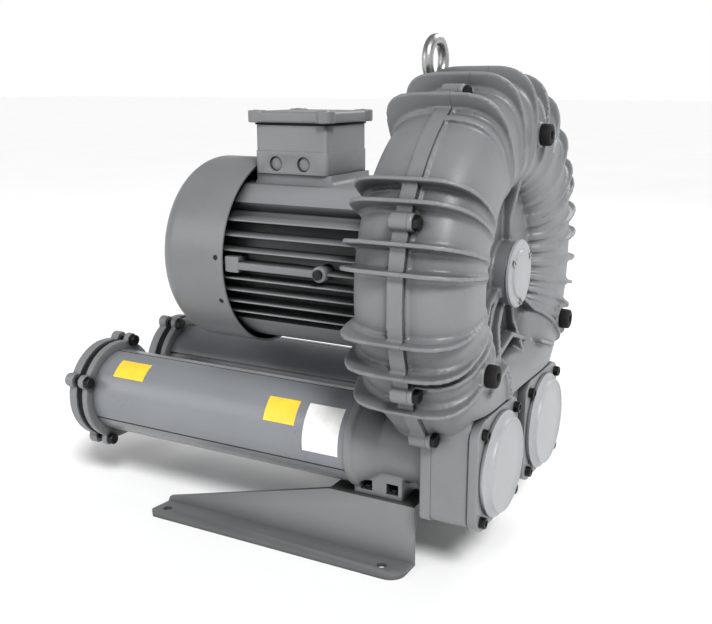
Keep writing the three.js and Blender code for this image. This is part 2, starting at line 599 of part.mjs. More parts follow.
function addSilencer(place, side) {
  const silencer = new THREE.Group();
  silencer.position.set(0, side * PORT.y, PORT.z);
  machine.add(silencer);
  const { radius, wall, rear, front } = SILENCER;
  const tube = ring(rear, front, radius - wall, radius);
  addMesh(silencer, `${place}_silencer_tube`, tube, MATERIAL.silencer);
  const liner = ring(rear + LINER.end, front - LINER.end, LINER.bore, radius - wall - GAP);
  addMesh(silencer, `${place}_silencer_liner`, liner, MATERIAL.foam);
  const plateEnd = rear - GAP;
  const gasketFront = plateEnd - CAP.front - GAP;
  const flangeEnd = gasketFront - CAP.gasket - GAP;
  const plate = capPlate(side, gasketFront + GAP, plateEnd, radius - wall);
  addMesh(silencer, `${place}_tube_flange`, plate, MATERIAL.casting);
  const gasket = ring(flangeEnd + GAP, gasketFront, radius - wall - 4, CAP.radius - 3);
  addMesh(silencer, `${place}_end_gasket`, gasket, MATERIAL.rubber);
  const thread = bar("x", THREAD_RADIUS, -HALF_LENGTH - 1, 0);
  const boss = bar("x", CAP.boss, -HALF_LENGTH, flangeEnd - 5).subtract(thread);
  const flange = capPlate(side, flangeEnd - CAP.plate, flangeEnd, THREAD_RADIUS).add(boss);
  addMesh(silencer, `${place}_end_flange`, flange, MATERIAL.casting);
  const face = PORT_FLANGE.x1 + GAP;
  const reach = face + PORT_COVER.depth;
  const outline = [[face, 0], [face, PORT_COVER.radius], [face + 4, PORT_COVER.radius]];
  outline.push([face + 5, PORT_COVER.radius - 4], [reach - 2, PORT_COVER.radius - 7], [reach, 0]);
  addMesh(silencer, `${place}_port_cover`, turn(outline, 32), MATERIAL.cover);
}

// ---- Brackets and lifting eye ----
function bracket() {
  const { thick, web, outer, top, inner, x0, x1, step } = BRACKET;
  const plate = prismY([[x0, 0], [x1, 0], [x1, top], [step, top], [x0 + 4, 10]], -web, -web + thick);
  const corner = 18;
  const rearCorner = [[x0 + 4, -web + 1], [x0, -outer + 8], [x0 + 8, -outer]];
  const frontCorner = [[x1 - corner, -outer], [x1, -outer + corner], [x1, -web + 1]];
  const foot = prismZ([...rearCorner, ...frontCorner], 0, thick);
  const shelf = box(step, x1, -web + 1, -inner, top - thick, top);
  const holes = BRACKET_HOLE.xs.map((x) =>
    bar("z", BRACKET_HOLE.radius, -1, thick + 1, 16).translate([x, -BRACKET_HOLE.y, 0]),
  );
  const boltHoles = SHOE_BOLT.xs.map((x) =>
    bar("z", SHOE_BOLT.size / 2 + GAP, top - thick - 1, top + 1, 12).translate([x, -SHOE_BOLT.y, 0]),
  );
  return cut(join([plate, foot, shelf]), [...holes, ...boltHoles]);
}

function addBrackets() {
  const near = bracket();
  addMesh(machine, "near_bracket", near, MATERIAL.bracket);
  addMesh(machine, "far_bracket", farSide(near), MATERIAL.bracket);
  const screw = hexScrew(SHOE_BOLT.size, SHOE_BOLT.pad + 12).rotate([0, 90, 0]);
  for (const [place, side] of [["near", -1], ["far", 1]]) {
    SHOE_BOLT.xs.forEach((x, i) => {
      const mesh = addMesh(machine, `${place}_bracket_bolt_${i + 1}`, screw, MATERIAL.steel);
      mesh.position.set(x, side * SHOE_BOLT.y, BRACKET.top + SHOE_BOLT.pad + 2 * GAP);
    });
  }
}

function addLiftingEye() {
  const loop = solid(new THREE.TorusGeometry(EYE.ring, EYE.wire, 8, 20).rotateY(Math.PI / 2));
  const eye = join([
    loop.translate([0, 0, EYE.centre]),
    bar("z", EYE.collar, EYE.seat, EYE.seat + 7, 20),
    bar("z", EYE.shank, EYE.seat - 18, EYE.seat + 1, 12),
  ]);
  addMesh(onAxis, "lifting_eye", eye, MATERIAL.steel).position.x = EYE.x;
}

addMotor();
addTerminalBox();
addRotor();
addBearing("rear", REAR_BEARING_X);
addBearing("front", FRONT_BEARING_X);
addBlower();
addSilencer("inlet", -1);
addSilencer("outlet", 1);
addBrackets();
addLiftingEye();

export default machine;
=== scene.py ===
"""Side-channel blower with a finned motor, twin silencers and folded steel brackets: its looks.

Metres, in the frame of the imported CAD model: +X along the motor axis to the front cover, +Z up.
Castings are unions of closed shells that are remeshed and smoothed, so that they get cast fillets,
and then cut where the real casting is machined. Everything else is built with its own edges.
"""

import json
import math

import bmesh
import bpy
from mathutils import Matrix, Vector

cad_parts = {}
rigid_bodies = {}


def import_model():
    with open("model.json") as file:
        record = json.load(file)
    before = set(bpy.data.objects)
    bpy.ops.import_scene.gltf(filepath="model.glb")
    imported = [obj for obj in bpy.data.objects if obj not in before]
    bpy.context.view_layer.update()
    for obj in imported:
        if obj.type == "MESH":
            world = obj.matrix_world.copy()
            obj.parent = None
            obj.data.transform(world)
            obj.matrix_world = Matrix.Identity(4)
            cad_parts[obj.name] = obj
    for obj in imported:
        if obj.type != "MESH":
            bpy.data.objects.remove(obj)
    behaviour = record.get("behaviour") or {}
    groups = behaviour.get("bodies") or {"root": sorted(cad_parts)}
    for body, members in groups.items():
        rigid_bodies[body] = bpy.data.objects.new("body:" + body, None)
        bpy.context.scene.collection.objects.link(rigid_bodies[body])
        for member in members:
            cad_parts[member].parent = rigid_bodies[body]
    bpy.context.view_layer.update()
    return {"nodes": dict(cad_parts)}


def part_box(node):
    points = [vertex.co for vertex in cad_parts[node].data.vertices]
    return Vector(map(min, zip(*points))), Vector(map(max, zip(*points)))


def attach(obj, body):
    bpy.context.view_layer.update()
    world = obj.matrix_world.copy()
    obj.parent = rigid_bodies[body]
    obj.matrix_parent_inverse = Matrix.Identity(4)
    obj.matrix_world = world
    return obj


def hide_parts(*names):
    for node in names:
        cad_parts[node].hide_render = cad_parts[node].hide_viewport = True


# ---- Dimensions ----
AXIS_Z = 0.307
GAP = 0.0003
JOINT_X = 0.216

# Ring housing: sections are (centre, radial half, axial half, roundness)
TUBE = {1: (0.140, 0.053, 0.050, 0.75), -1: (0.140, 0.053, 0.071, 0.75)}
CHANNEL = {1: (0.140, 0.041, 0.038, 0.8), -1: (0.140, 0.041, 0.058, 0.8)}
FIN = {1: (0.151, 0.0565, 0.0545, 0.7), -1: (0.151, 0.0565, 0.0725, 0.42)}
TALL = 0.0045
STEP_FIN = (0.145, 0.053, 0.0508, 0.72)
FIN_TIP = 0.0042
FIN_ROOT = 0.0075
NEAR_FINS = (76, 61.5, 33, 27, 16, 8.6, -10, -19.5, -32)
FAR_FINS = (90, 76, 61.5, 46, 33, 27, 16, 7, -3, -13, -22, -32)
TALL_FINS = (90, 76, 61.5)
STEP_ANGLE = 56
CREST_RIBS = (204, 214, 250, 324)
BAND = dict(radius=0.200, upper=0.1972, depth=0.016, low=-58, middle=34, high=77)
RIDGE = 0.1953
RIDGE_INNER = 0.187
BAND_INNER = 0.186
OVERLAP = 0.006
LUG_CIRCLE = 0.200
LUG_RADIUS = 0.0088
LUG_LENGTH = {1: 0.005, -1: 0.018}
BOLT_ANGLES = (68, 22, -26, -47)
BOLT_HOLE = 0.0043
JOINT_BOLT = dict(across=0.0125, head=0.0048, shank=(0.004, 0.020))
SPOT_FACE = dict(radius=0.0084, reach=0.013)
WEB_X = (0.230, 0.237)
WEB_RADIUS = 0.096
WEB_RIBS = (90, 204, 214, 244, 290, 324)
HUB_RADIUS = 0.034
HUB_FRONT = 0.254
HUB_BORE = 0.022
SEAL_BORE = 0.0253
IMPELLER_ROOM = dict(radius=0.1025, depth=0.014)
NECK = (0.1423, 0.082, 0.095)
FOOT_CIRCLE = 0.144
FOOT_ANGLES = (84, -31, 212)
FOOT_PAD = 0.0135
FOOT_START = 0.271
FRONT_END = 0.281

# Ports and silencers
PORT_Y = 0.072
PORT_Z = 0.1225
BLOCK = dict(half=0.056, bottom=0.0693, top=0.196, front=0.259, rear=0.203)
PORT_FLANGE = dict(half=0.059, corner=0.020, x0=0.257, x1=0.267, roof=0.184)
PORT_BORE = 0.040
COVER_RADIUS = 0.055
TUBE_RADIUS = 0.051
TUBE_BORE = 0.047
GROOVE = 0.0024
GROOVE_ANGLES = (27, 91, 207, 271)
TUBE_ENDS = (-0.239, 0.120)
SOCKET = dict(radius=0.054, rear=0.113, rim=0.121, neck=0.038, neck_rear=0.148, bore=0.031)
CAP = dict(radius=0.062, ear=0.0085, circle=0.064, boss=0.038)
CAP_ANGLES = (67, 157, 247, 337)
TIE_BOLT = dict(across=0.013, head=0.0065, radius=0.003)
TUBE_FLANGE = (-0.2473, -0.2393)
END_GASKET = (-0.256, -0.2476)
END_FLANGE = (-0.2683, -0.2563)
REAR_END = -0.281
THREAD_RADIUS = 0.0295

# Blank patches on the near tube: along the tube, then degrees above the horizontal
PATCHES = (
    dict(x0=-0.214, x1=-0.168, low=38, high=66, colour="yellow"),
    dict(x0=0.010, x1=0.050, low=20, high=52, colour="yellow"),
    dict(x0=0.062, x1=0.106, low=-8, high=52, colour="white"),
)

# Brackets
BRACKET = dict(
    thick=0.005, web=0.107, outer=0.144, inner=0.062, top=0.069, x0=-0.143, x1=0.189, step=0.086, corner=0.018
)
ANCHOR_XS = (-0.127, 0.161)
ANCHOR_Y = 0.126
ANCHOR_RADIUS = 0.0055
SHOE = dict(x0=0.113, x1=0.172, outer=0.100, inner=0.060, top=0.104)
SHOE_BOLT_XS = (0.129, 0.160)
SHOE_BOLT_Y = 0.091
SHOE_BOLT_HOLE = 0.0033
SHOE_BOLT = dict(across=0.0098, head=0.0039, radius=0.003)

# Motor
COWL = dict(rear=-0.140, rim=-0.046, radius=0.110, wall=0.0025, corner=0.026)
INTAKE_HOLE = 0.0042
INTAKE_ROWS = ((0.024, 8), (0.037, 14), (0.050, 20), (0.063, 26), (0.076, 32))
COWL_SCREW_ANGLES = (176, 203, 4, -23, 90, 270)
FRAME_X = (-0.074, 0.123)
FRAME_CORE = 0.086
FRAME_TIP = 0.104
FRAME_BORE = 0.0783
FIN_HEIGHTS = (0.048, 0.032, 0.016, 0.0, -0.015, -0.029, -0.043, -0.056)
BOX = dict(x0=-0.042, x1=0.052, half=0.047, floor=0.4033, top=0.4565)
LID = dict(over=0.0075, bottom=0.4591, top=0.473, lobe=0.0103, lobe_in=0.0105)
PLUG_XS = (-0.014, 0.022)
PLUG_Z = 0.4145
EARTH_X = 0.075

# Lifting eye
EYE = dict(x=0.157, ring=0.021, wire=0.006, seat=0.499, centre=0.525)

VOXEL = 0.0014

# Camera, fitted to the photo's perspective
CAMERA = dict(lens=46.85, place=(0.55863, -0.92368, 0.50005), tilt=76.213, turn=28.245)

scene = bpy.context.scene


def clear_start_scene():
    for o in list(bpy.data.objects):
        bpy.data.objects.remove(o)


clear_start_scene()
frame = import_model()


# ---- Mesh helpers ----
def link(name, bm, sharp=35):
    bmesh.ops.recalc_face_normals(bm, faces=bm.faces)
    mesh = bpy.data.meshes.new(name)
    bm.to_mesh(mesh)
    bm.free()
    o = bpy.data.objects.new(name, mesh)
    scene.collection.objects.link(o)
    soften(o, sharp)
    return o


def soften(o, sharp):
    """Shade smooth, with edges over this many degrees left sharp."""
    o.data.shade_smooth()
    if sharp < 180:
        o.data.set_sharp_from_angle(angle=math.radians(sharp))


def settle(o):
    """Replaces the mesh by what its modifiers make of it."""
    dg = bpy.context.evaluated_depsgraph_get()
    mesh = bpy.data.meshes.new_from_object(o.evaluated_get(dg))
    old = o.data
    o.modifiers.clear()
    o.data = mesh
    bpy.data.meshes.remove(old)
    mesh.name = o.name
    return o


def cut(o, bm, operation="DIFFERENCE"):
    """Cuts the closed shells in bm out of o; UNION adds them, and INTERSECT keeps what they share."""
    return cut_by(o, link("tool", bm), operation)


def cut_by(o, tool, operation="DIFFERENCE"):
    """The same with an object, which is used up."""
    m = o.modifiers.new("cut", "BOOLEAN")
    m.operation = operation
    m.solver = "MANIFOLD"
    m.object = tool
    settle(o)
    bpy.data.objects.remove(tool)
    return o


def cast(name, bm, voxel=VOXEL, smooth=3):
    """One cast body out of overlapping shells, with soft fillets where they meet."""
    o = link(name, bm)
    m = o.modifiers.new("remesh", "REMESH")
    m.mode = "VOXEL"
    m.voxel_size = voxel
    m.use_smooth_shade = True
    s = o.modifiers.new("smooth", "SMOOTH")
    s.factor = 0.5
    s.iterations = smooth
    settle(o)
    return o


def bevelled(o, width, segments=3, angle=40):
    m = o.modifiers.new("edges", "BEVEL")
    m.width = width
    m.segments = segments
    m.limit_method = "ANGLE"
    m.angle_limit = math.radians(angle)
    m.harden_normals = False
    settle(o)
    soften(o, 50)
    return o


def prism(bm, outline, axis, a, b):
    """A closed prism: outline is (y, z), (x, z) or (x, y) points and runs from a to b along axis."""
    place = {
        "x": lambda u, v, t: (t, u, v),
        "y": lambda u, v, t: (u, t, v),
        "z": lambda u, v, t: (u, v, t),
    }[axis]
    low = [bm.verts.new(place(u, v, a)) for u, v in outline]
    high = [bm.verts.new(place(u, v, b)) for u, v in outline]
    bm.faces.new(low)
    bm.faces.new(high)
    for i in range(len(outline)):
        j = (i + 1) % len(outline)
        bm.faces.new((low[i], low[j], high[j], high[i]))
    return low + high


def block(bm, x0, x1, y0, y1, z0, z1):
    return prism(bm, [(x0, y0), (x1, y0), (x1, y1), (x0, y1)], "z", z0, z1)


def soft_block(bm, x0, x1, y0, y1, z0, z1, radius, segments=4):
    """A box with rounded edges."""
    before = set(bm.edges)
    block(bm, x0, x1, y0, y1, z0, z1)
    edges = [e for e in bm.edges if e not in before]
    bmesh.ops.bevel(bm, geom=edges, offset=radius, segments=segments, affect="EDGES", profile=0.5)


def turned(bm, profile, segments=96, y=0.0, z=AXIS_Z, x=0.0, axis="x"):
    """A solid of revolution: profile is (along, radius), from axis to axis or closed on itself."""

    def put(along, radius, angle):
        u, v = radius * math.cos(angle), radius * math.sin(angle)
        if axis == "x":
            return (x + along, y + u, z + v)
        if axis == "y":
            return (x + u, y + along, z + v)
        return (x + u, y + v, z + along)

    rings = []
    for along, radius in profile:
        if radius < 1e-7:
            rings.append([bm.verts.new(put(along, 0, 0))])
        else:
            turn = [2 * math.pi * k / segments for k in range(segments)]
            rings.append([bm.verts.new(put(along, radius, a)) for a in turn])
    pairs = list(zip(rings, rings[1:]))
    if len(rings[0]) > 1 and len(rings[-1]) > 1:
        pairs.append((rings[-1], rings[0]))
    for a, b in pairs:
        for k in range(segments):
            n = (k + 1) % segments
            corner = [a[k % len(a)], a[n % len(a)], b[n % len(b)], b[k % len(b)]]
            unique = list(dict.fromkeys(corner))
            if len(unique) > 2:
                bm.faces.new(unique)


def bar(bm, radius, a, b, axis="x", x=0.0, y=0.0, z=AXIS_Z, segments=48, edge=0.0):
    """A round bar along an axis, its ends chamfered by edge."""
    profile = [(a, 0), (a, radius - edge), (a + edge, radius), (b - edge, radius), (b, radius - edge), (b, 0)]
    if edge == 0:
        profile = [(a, 0), (a, radius), (b, radius), (b, 0)]
    turned(bm, profile, segments, y, z, x, axis)


def tube(bm, inner, outer, a, b, **where):
    turned(bm, [(a, inner), (a, outer), (b, outer), (b, inner)], **where)


FAR = Matrix.Scale(-1, 4, (0, 1, 0))


def polar_at(y, z, angle, radius):
    """The point (y, z) at an angle and radius from a centre in the Y-Z plane."""
    a = math.radians(angle)
    return y + radius * math.cos(a), z + radius * math.sin(a)


def at_angle(angle, radius):
    """The same, round the machine's axis."""
    return polar_at(0, AXIS_Z, angle, radius)


def arc(cx, cy, radius, start, end, steps):
    """Points of an arc, in degrees."""
    out = []
    for k in range(steps + 1):
        a = math.radians(start + (end - start) * k / steps)
        out.append((cx + radius * math.cos(a), cy + radius * math.sin(a)))
    return out


def finish_piece(o, material, nodes=(), body="housing"):
    o.data.materials.clear()
    o.data.materials.append(material)
    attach(o, body)
    if nodes:
        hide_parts(*nodes)
    return o


# ---- Materials ----
class Nodes:
    """A short way to write a node tree."""

    def __init__(self, name):
        self.material = bpy.data.materials.new(name)
        self.material.use_nodes = True
        self.tree = self.material.node_tree
        self.shader = self.tree.nodes["Principled BSDF"]

    def add(self, kind, inputs=None, **settings):
        n = self.tree.nodes.new("ShaderNode" + kind)
        for key, value in settings.items():
            setattr(n, key, value)
        for key, value in (inputs or {}).items():
            self.set(n, key, value)
        return n

    def set(self, node, key, value):
        socket = node.inputs[key]
        if isinstance(value, bpy.types.NodeSocket):
            self.tree.links.new(value, socket)
        else:
            socket.default_value = value

    def end(self, **values):
        for key, value in values.items():
            self.set(self.shader, key.replace("_", " "), value)
        return self.material

    def noise(self, scale, detail=4.0, rough=0.55, stretch=(1, 1, 1)):
        place = self.add("TexCoord").outputs["Object"]
        mapped = self.add("Mapping", {"Vector": place, "Scale": stretch}).outputs["Vector"]
        n = self.add("TexNoise", {"Vector": mapped, "Scale": scale, "Detail": detail, "Roughness": rough})
        return n.outputs["Fac"]

    def span(self, value, low, high, to_low, to_high):
        inputs = {"Value": value, "From Min": low, "From Max": high, "To Min": to_low, "To Max": to_high}
        return self.add("MapRange", inputs).outputs["Result"]

    def mix(self, factor, a, b):
        n = self.add("Mix", data_type="RGBA")
        self.tree.links.new(factor, n.inputs[0])
        for index, value in ((6, a), (7, b)):
            if isinstance(value, bpy.types.NodeSocket):
                self.tree.links.new(value, n.inputs[index])
            else:
                n.inputs[index].default_value = value
        return n.outputs[2]

    def bump(self, height, strength, distance):
        n = self.add("Bump", {"Height": height, "Strength": strength, "Distance": distance})
        return n.outputs["Normal"]


def grey(value, tint=(1, 1, 1)):
    return (value * tint[0], value * tint[1], value * tint[2], 1)


COOL = (0.97, 1.0, 1.035)


def paint(name, value, tint, roughness=0.42, grain=600, grain_depth=0.00025, strength=0.35, wear=0.5):
    """Sprayed satin paint: cloudy tone, fine grain, paler worn edges and near-black painted shade in corners,
    crevices and under fins.
    """
    n = Nodes(name)
    clouds = n.noise(14, 5, 0.6)
    specks = n.noise(420, 2, 0.6)
    tone = n.mix(n.span(clouds, 0.3, 0.7, 0, 1), grey(value * 0.93, tint), grey(value * 1.07, tint))
    tone = n.mix(n.span(specks, 0.55, 0.75, 0, 0.22), tone, grey(value * 1.25, tint))
    pointed = n.add("NewGeometry").outputs["Pointiness"]
    worn = n.span(pointed, 0.53, 0.62, 0, wear)
    tone = n.mix(worn, tone, grey(min(1, value * 1.5), tint))
    # painted shade: the colour goes near black where ambient occlusion finds corners, crevices and the
    # undersides of fins
    hidden = n.add("AmbientOcclusion", {"Distance": 0.045}, samples=6).outputs["AO"]
    painted_shade = n.span(hidden, 0.24, 0.86, 0.95, 0)
    tone = n.mix(painted_shade, tone, grey(value * 0.07, tint))
    fine = n.noise(grain, 3, 0.6)
    gloss = n.span(clouds, 0.3, 0.7, roughness - 0.05, roughness + 0.07)
    return n.end(
        Base_Color=tone,
        Metallic=0.0,
        Roughness=gloss,
        Normal=n.bump(fine, strength, grain_depth),
    )


def rubber(name, value=0.006):
    n = Nodes(name)
    clouds = n.noise(40, 4, 0.6)
    fine = n.noise(900, 3, 0.7)
    tone = n.mix(n.span(clouds, 0.3, 0.7, 0, 1), grey(value), grey(value * 1.9))
    dust = n.span(fine, 0.6, 0.8, 0, 0.25)
    tone = n.mix(dust, tone, grey(value * 4))
    dull = n.span(clouds, 0.3, 0.7, 0.62, 0.8)
    return n.end(Base_Color=tone, Roughness=dull, Specular_IOR_Level=0.2, Normal=n.bump(fine, 0.4, 0.0003))


def metal(name, value, roughness=0.3, tint=(1, 1, 1), stretch=(1, 1, 1), scale=500):
    """Bare metal with fine machining or drawing marks along the unstretched direction."""
    n = Nodes(name)
    marks = n.noise(scale, 3, 0.6, stretch)
    clouds = n.noise(30, 4, 0.6)
    tone = n.mix(n.span(clouds, 0.3, 0.7, 0, 1), grey(value * 0.85, tint), grey(value * 1.08, tint))
    gloss = n.span(marks, 0.3, 0.7, roughness - 0.08, roughness + 0.12)
    return n.end(Base_Color=tone, Metallic=1.0, Roughness=gloss, Normal=n.bump(marks, 0.25, 0.00015))


def foam(name):
    n = Nodes(name)
    place = n.add("TexCoord").outputs["Object"]
    cells = n.add("TexVoronoi", {"Vector": place, "Scale": 320}).outputs["Distance"]
    tone = n.mix(n.span(cells, 0, 0.7, 0, 1), grey(0.02), grey(0.11))
    return n.end(Base_Color=tone, Roughness=0.95, Normal=n.bump(cells, 0.8, 0.001))


def label(name, colour):
    """Blank printed foil."""
    n = Nodes(name)
    clouds = n.noise(60, 4, 0.6)
    darker = tuple(c * 0.86 for c in colour[:3]) + (1,)
    tone = n.mix(n.span(clouds, 0.35, 0.7, 0, 1), colour, darker)
    gloss = n.span(clouds, 0.3, 0.7, 0.3, 0.45)
    return n.end(Base_Color=tone, Roughness=gloss, Normal=n.bump(clouds, 0.2, 0.0002))


M = {
    "casting": paint("cast_grey_paint", 0.18, COOL, 0.40, 520, 0.0003, 0.4),
    "motor": paint("motor_grey_paint", 0.165, COOL, 0.42),
    "cowl": paint("cowl_grey_paint", 0.155, COOL, 0.36, 900, 0.00012, 0.25, 0.3),
    "cover": paint("cover_pale_paint", 0.31, COOL, 0.38, 700, 0.0002, 0.3),
    "silencer": paint("silencer_blue_grey_paint", 0.17, (0.95, 1.0, 1.08), 0.31, 1200, 0.0001, 0.2, 0.3),
    "bracket": paint("bracket_grey_paint", 0.135, (0.985, 1.0, 1.02), 0.5, 1000, 0.00015, 0.3),
    "rubber": rubber("black_rubber"),
    "plastic": rubber("black_plastic", 0.012),
    "bolt": metal("plated_bolt_steel", 0.42, 0.34),
    "dark_bolt": metal("blackened_bolt_steel", 0.035, 0.45),
    "bearing": metal("ground_bearing_steel", 0.75, 0.16),
    "shaft": metal("turned_shaft_steel", 0.6, 0.26, stretch=(6, 1, 1)),
    "aluminium": metal("cast_aluminium", 0.7, 0.4),
    "laminate": metal("lamination_steel", 0.25, 0.45, stretch=(40, 1, 1), scale=60),
    "copper": metal("enamelled_copper", 0.5, 0.3, (1.15, 0.55, 0.25), (30, 1, 1), 80),
    "foam": foam("absorber_foam"),
    "yellow": label("blank_yellow_foil", (0.86, 0.58, 0.045, 1)),
    "white": label("blank_white_foil", (0.83, 0.83, 0.82, 1)),
}


# ---- Blower castings ----
def half_section(section, steps):
    centre, radial, axial, power = section
    out = []
    for i in range(steps + 1):
        c, s = math.cos(math.pi * i / steps), math.sin(math.pi * i / steps)
        out.append((axial * abs(s) ** power, centre + radial * math.copysign(abs(c) ** power, c)))
    return out


def ring_plate(bm, section, side, angle, thick):
    """A thin plate across the ring's tube, at an angle above the horizontal."""
    outline = [(JOINT_X + side * x, r) for x, r in half_section(section, 28)]
    past = JOINT_X - side * OVERLAP
    outline = [(past, outline[0][1]), *outline, (past, outline[-1][1])]
    verts = prism(bm, outline, "y", -thick / 2, thick / 2)
    turn = Matrix.Translation((0, 0, AXIS_Z)) @ Matrix.Rotation(math.radians(angle - 90), 4, "X")
    bmesh.ops.transform(bm, matrix=turn, verts=verts)


def raised(section, height, front=0.001):
    centre, radial, axial, power = section
    return (centre, radial + height, axial + front, power)


def ring_fin(bm, side, angle):
    """A meridional fin, thin to its edge, on a broader root."""
    tall = TALL if min(angle, 180 - angle) in TALL_FINS else 0
    ring_plate(bm, raised(FIN[side], tall, 0), side, angle, FIN_TIP)
    ring_plate(bm, raised(TUBE[side], 0.0032), side, angle, FIN_ROOT)


def fin_angles():
    return [*FAR_FINS, *(180 - a for a in NEAR_FINS)]


def bolt_angles():
    return [b for a in BOLT_ANGLES for b in (a, 180 - a)]


def joint_flange(bm, side):
    """A thin ridge all round the joint and, on the rear casting, a broad band down each side."""
    past = JOINT_X - side * OVERLAP
    reach = 0.0025 if side > 0 else 0.0035
    tube(bm, RIDGE_INNER, RIDGE, *sorted((past, JOINT_X + side * reach)), segments=180)
    if side > 0:
        return
    lower = (BAND["radius"], BAND["low"], BAND["middle"])
    upper = (BAND["upper"], BAND["middle"], BAND["high"])
    for radius, low, high in (lower, upper):
        for start, end in ((low, high), (180 - high, 180 - low)):
            outer = [at_angle(start + (end - start) * k / 40, radius) for k in range(41)]
            inner = [at_angle(start + (end - start) * k / 40, BAND_INNER) for k in range(41)]
            prism(bm, outer + inner[::-1], "x", JOINT_X - BAND["depth"], past)


def ring_shell(bm, side):
    """What both castings share: the ring's wall, fins, flange and lugs."""
    wall = [(JOINT_X + side * x, r) for x, r in half_section(TUBE[side], 40)]
    past = JOINT_X - side * OVERLAP
    turned(bm, [(past, wall[0][1]), *wall, (past, wall[-1][1])], 200)
    for angle in fin_angles():
        ring_fin(bm, side, angle)
    joint_flange(bm, side)
    for angle in bolt_angles():
        y, z = at_angle(angle, LUG_CIRCLE)
        a, b = sorted((past, JOINT_X + side * LUG_LENGTH[side]))
        bar(bm, LUG_RADIUS, a, b, y=y, z=z, segments=32)


def carve_ring(o, side):
    """Cuts the joint face flat, then the side channel, the impeller's gap, the bolt holes and their seats."""
    trim = bmesh.new()
    away = JOINT_X - side * 0.1
    block(trim, *sorted((away, JOINT_X + side * GAP / 2)), -0.3, 0.3, -0.1, 0.6)
    cut(o, trim)
    past = JOINT_X - side * 0.010
    hollow = bmesh.new()
    channel = [(JOINT_X + side * x, r) for x, r in half_section(CHANNEL[side], 16)]
    turned(hollow, [(past, channel[0][1]), *channel, (past, channel[-1][1])], 96)
    cut(o, hollow)
    hollow = bmesh.new()
    room = IMPELLER_ROOM
    bar(hollow, room["radius"], *sorted((past, JOINT_X + side * room["depth"])), segments=96)
    cut(o, hollow)
    holes = bmesh.new()
    for angle in bolt_angles():
        y, z = at_angle(angle, LUG_CIRCLE)
        beyond = JOINT_X + side * (LUG_LENGTH[side] + 0.002)
        bar(holes, BOLT_HOLE, *sorted((past, beyond)), y=y, z=z, segments=24)
    cut(o, holes)
    heads = bmesh.new()
    for angle in bolt_angles():
        y, z = at_angle(angle, LUG_CIRCLE)
        face = JOINT_X + side * (LUG_LENGTH[side] - 0.0003)
        beyond = face + side * SPOT_FACE["reach"]
        bar(heads, SPOT_FACE["radius"], *sorted((face, beyond)), y=y, z=z, segments=32)
    cut(o, heads)


def front_cover():
    bm = bmesh.new()
    ring_shell(bm, 1)
    for angle in (STEP_ANGLE, 180 - STEP_ANGLE):
        ring_plate(bm, STEP_FIN, 1, angle, FIN_ROOT)
    for angle in CREST_RIBS:
        ring_plate(bm, raised(TUBE[1], 0.005, 0.0045), 1, angle, 0.005)
    bar(bm, WEB_RADIUS, JOINT_X - OVERLAP, WEB_X[1], segments=128)
    bar(bm, HUB_RADIUS, WEB_X[0], HUB_FRONT, segments=64)
    for angle in WEB_RIBS:
        web_rib(bm, angle)
    for side in (-1, 1):
        web_ledge(bm, side)
    for side in (-1, 1):
        y0, y1 = sorted((side * (PORT_Y - BLOCK["half"]), side * (PORT_Y + BLOCK["half"])))
        soft_block(bm, JOINT_X - OVERLAP, BLOCK["front"], y0, y1, BLOCK["bottom"], BLOCK["top"], 0.007)
    for angle in FOOT_ANGLES:
        y, z = at_angle(angle, FOOT_CIRCLE)
        bar(bm, FOOT_PAD, JOINT_X + 0.03, FOOT_START - GAP, y=y, z=z, edge=0.001)
    o = cast("front_cover_casting", bm)
    carve_ring(o, 1)
    trim = bmesh.new()
    f = PORT_FLANGE
    reach = PORT_Y + f["half"] + 0.006
    block(trim, f["x0"], 0.31, -reach, reach, 0.0, f["roof"])
    cut(o, trim)
    port = bmesh.new()
    for side in (-1, 1):
        bar(port, PORT_BORE, JOINT_X - 0.01, f["x1"], y=side * PORT_Y, z=PORT_Z, segments=64)
    bar(port, HUB_BORE, JOINT_X - 0.01, HUB_FRONT + 0.01, segments=64)
    cut(o, port)
    soften(o, 40)
    return finish_piece(o, M["casting"], ["blower_front_cover"])


def web_rib(bm, angle):
    """A radial rib on the front web: low at the hub, rising into the ring's inner wall."""
    profile = [(WEB_X[0], 0.028), (0.2475, 0.028), (0.2475, 0.060), (0.256, 0.098), (WEB_X[0], 0.098)]
    verts = prism(bm, profile, "y", -0.0026, 0.0026)
    turn = Matrix.Translation((0, 0, AXIS_Z)) @ Matrix.Rotation(math.radians(angle - 90), 4, "X")
    bmesh.ops.transform(bm, matrix=turn, verts=verts)


def web_ledge(bm, side):
    """A ledge that falls from under the hub to the side, over the web and on over the ring's front."""
    top, thick, fall = 0.2425, 0.005, 0.33
    for start, end, front in ((-0.002, 0.062, HUB_FRONT), (0.055, 0.106, 0.2695)):
        corners = ((start, 0), (start, thick), (end, thick), (end, 0))
        outline = [(side * y, top - fall * y - drop) for y, drop in corners]
        prism(bm, outline, "x", WEB_X[0], front)


def rear_port(bm, side):
    """A flange block at the joint, a neck that flares back to the silencer tube, and the bracket's shoe."""
    y0, y1 = sorted((side * (PORT_Y - BLOCK["half"]), side * (PORT_Y + BLOCK["half"])))
    soft_block(bm, BLOCK["rear"], JOINT_X + OVERLAP, y0, y1, BLOCK["bottom"], BLOCK["top"] - 0.008, 0.003)
    k = SOCKET
    flare = [(k["rear"], 0), (k["rear"], k["radius"]), (k["rim"], k["radius"])]
    flare += [(k["rim"] + 0.003, k["radius"] - 0.004), (k["neck_rear"], k["neck"])]
    flare += [(BLOCK["rear"] + 0.004, k["neck"]), (BLOCK["rear"] + 0.004, 0)]
    turned(bm, flare, 96, y=side * PORT_Y, z=PORT_Z)
    y0, y1 = sorted((side * SHOE["outer"], side * SHOE["inner"]))
    soft_block(bm, SHOE["x0"], SHOE["x1"], y0, y1, BRACKET["top"] - 0.004, SHOE["top"], 0.0025)


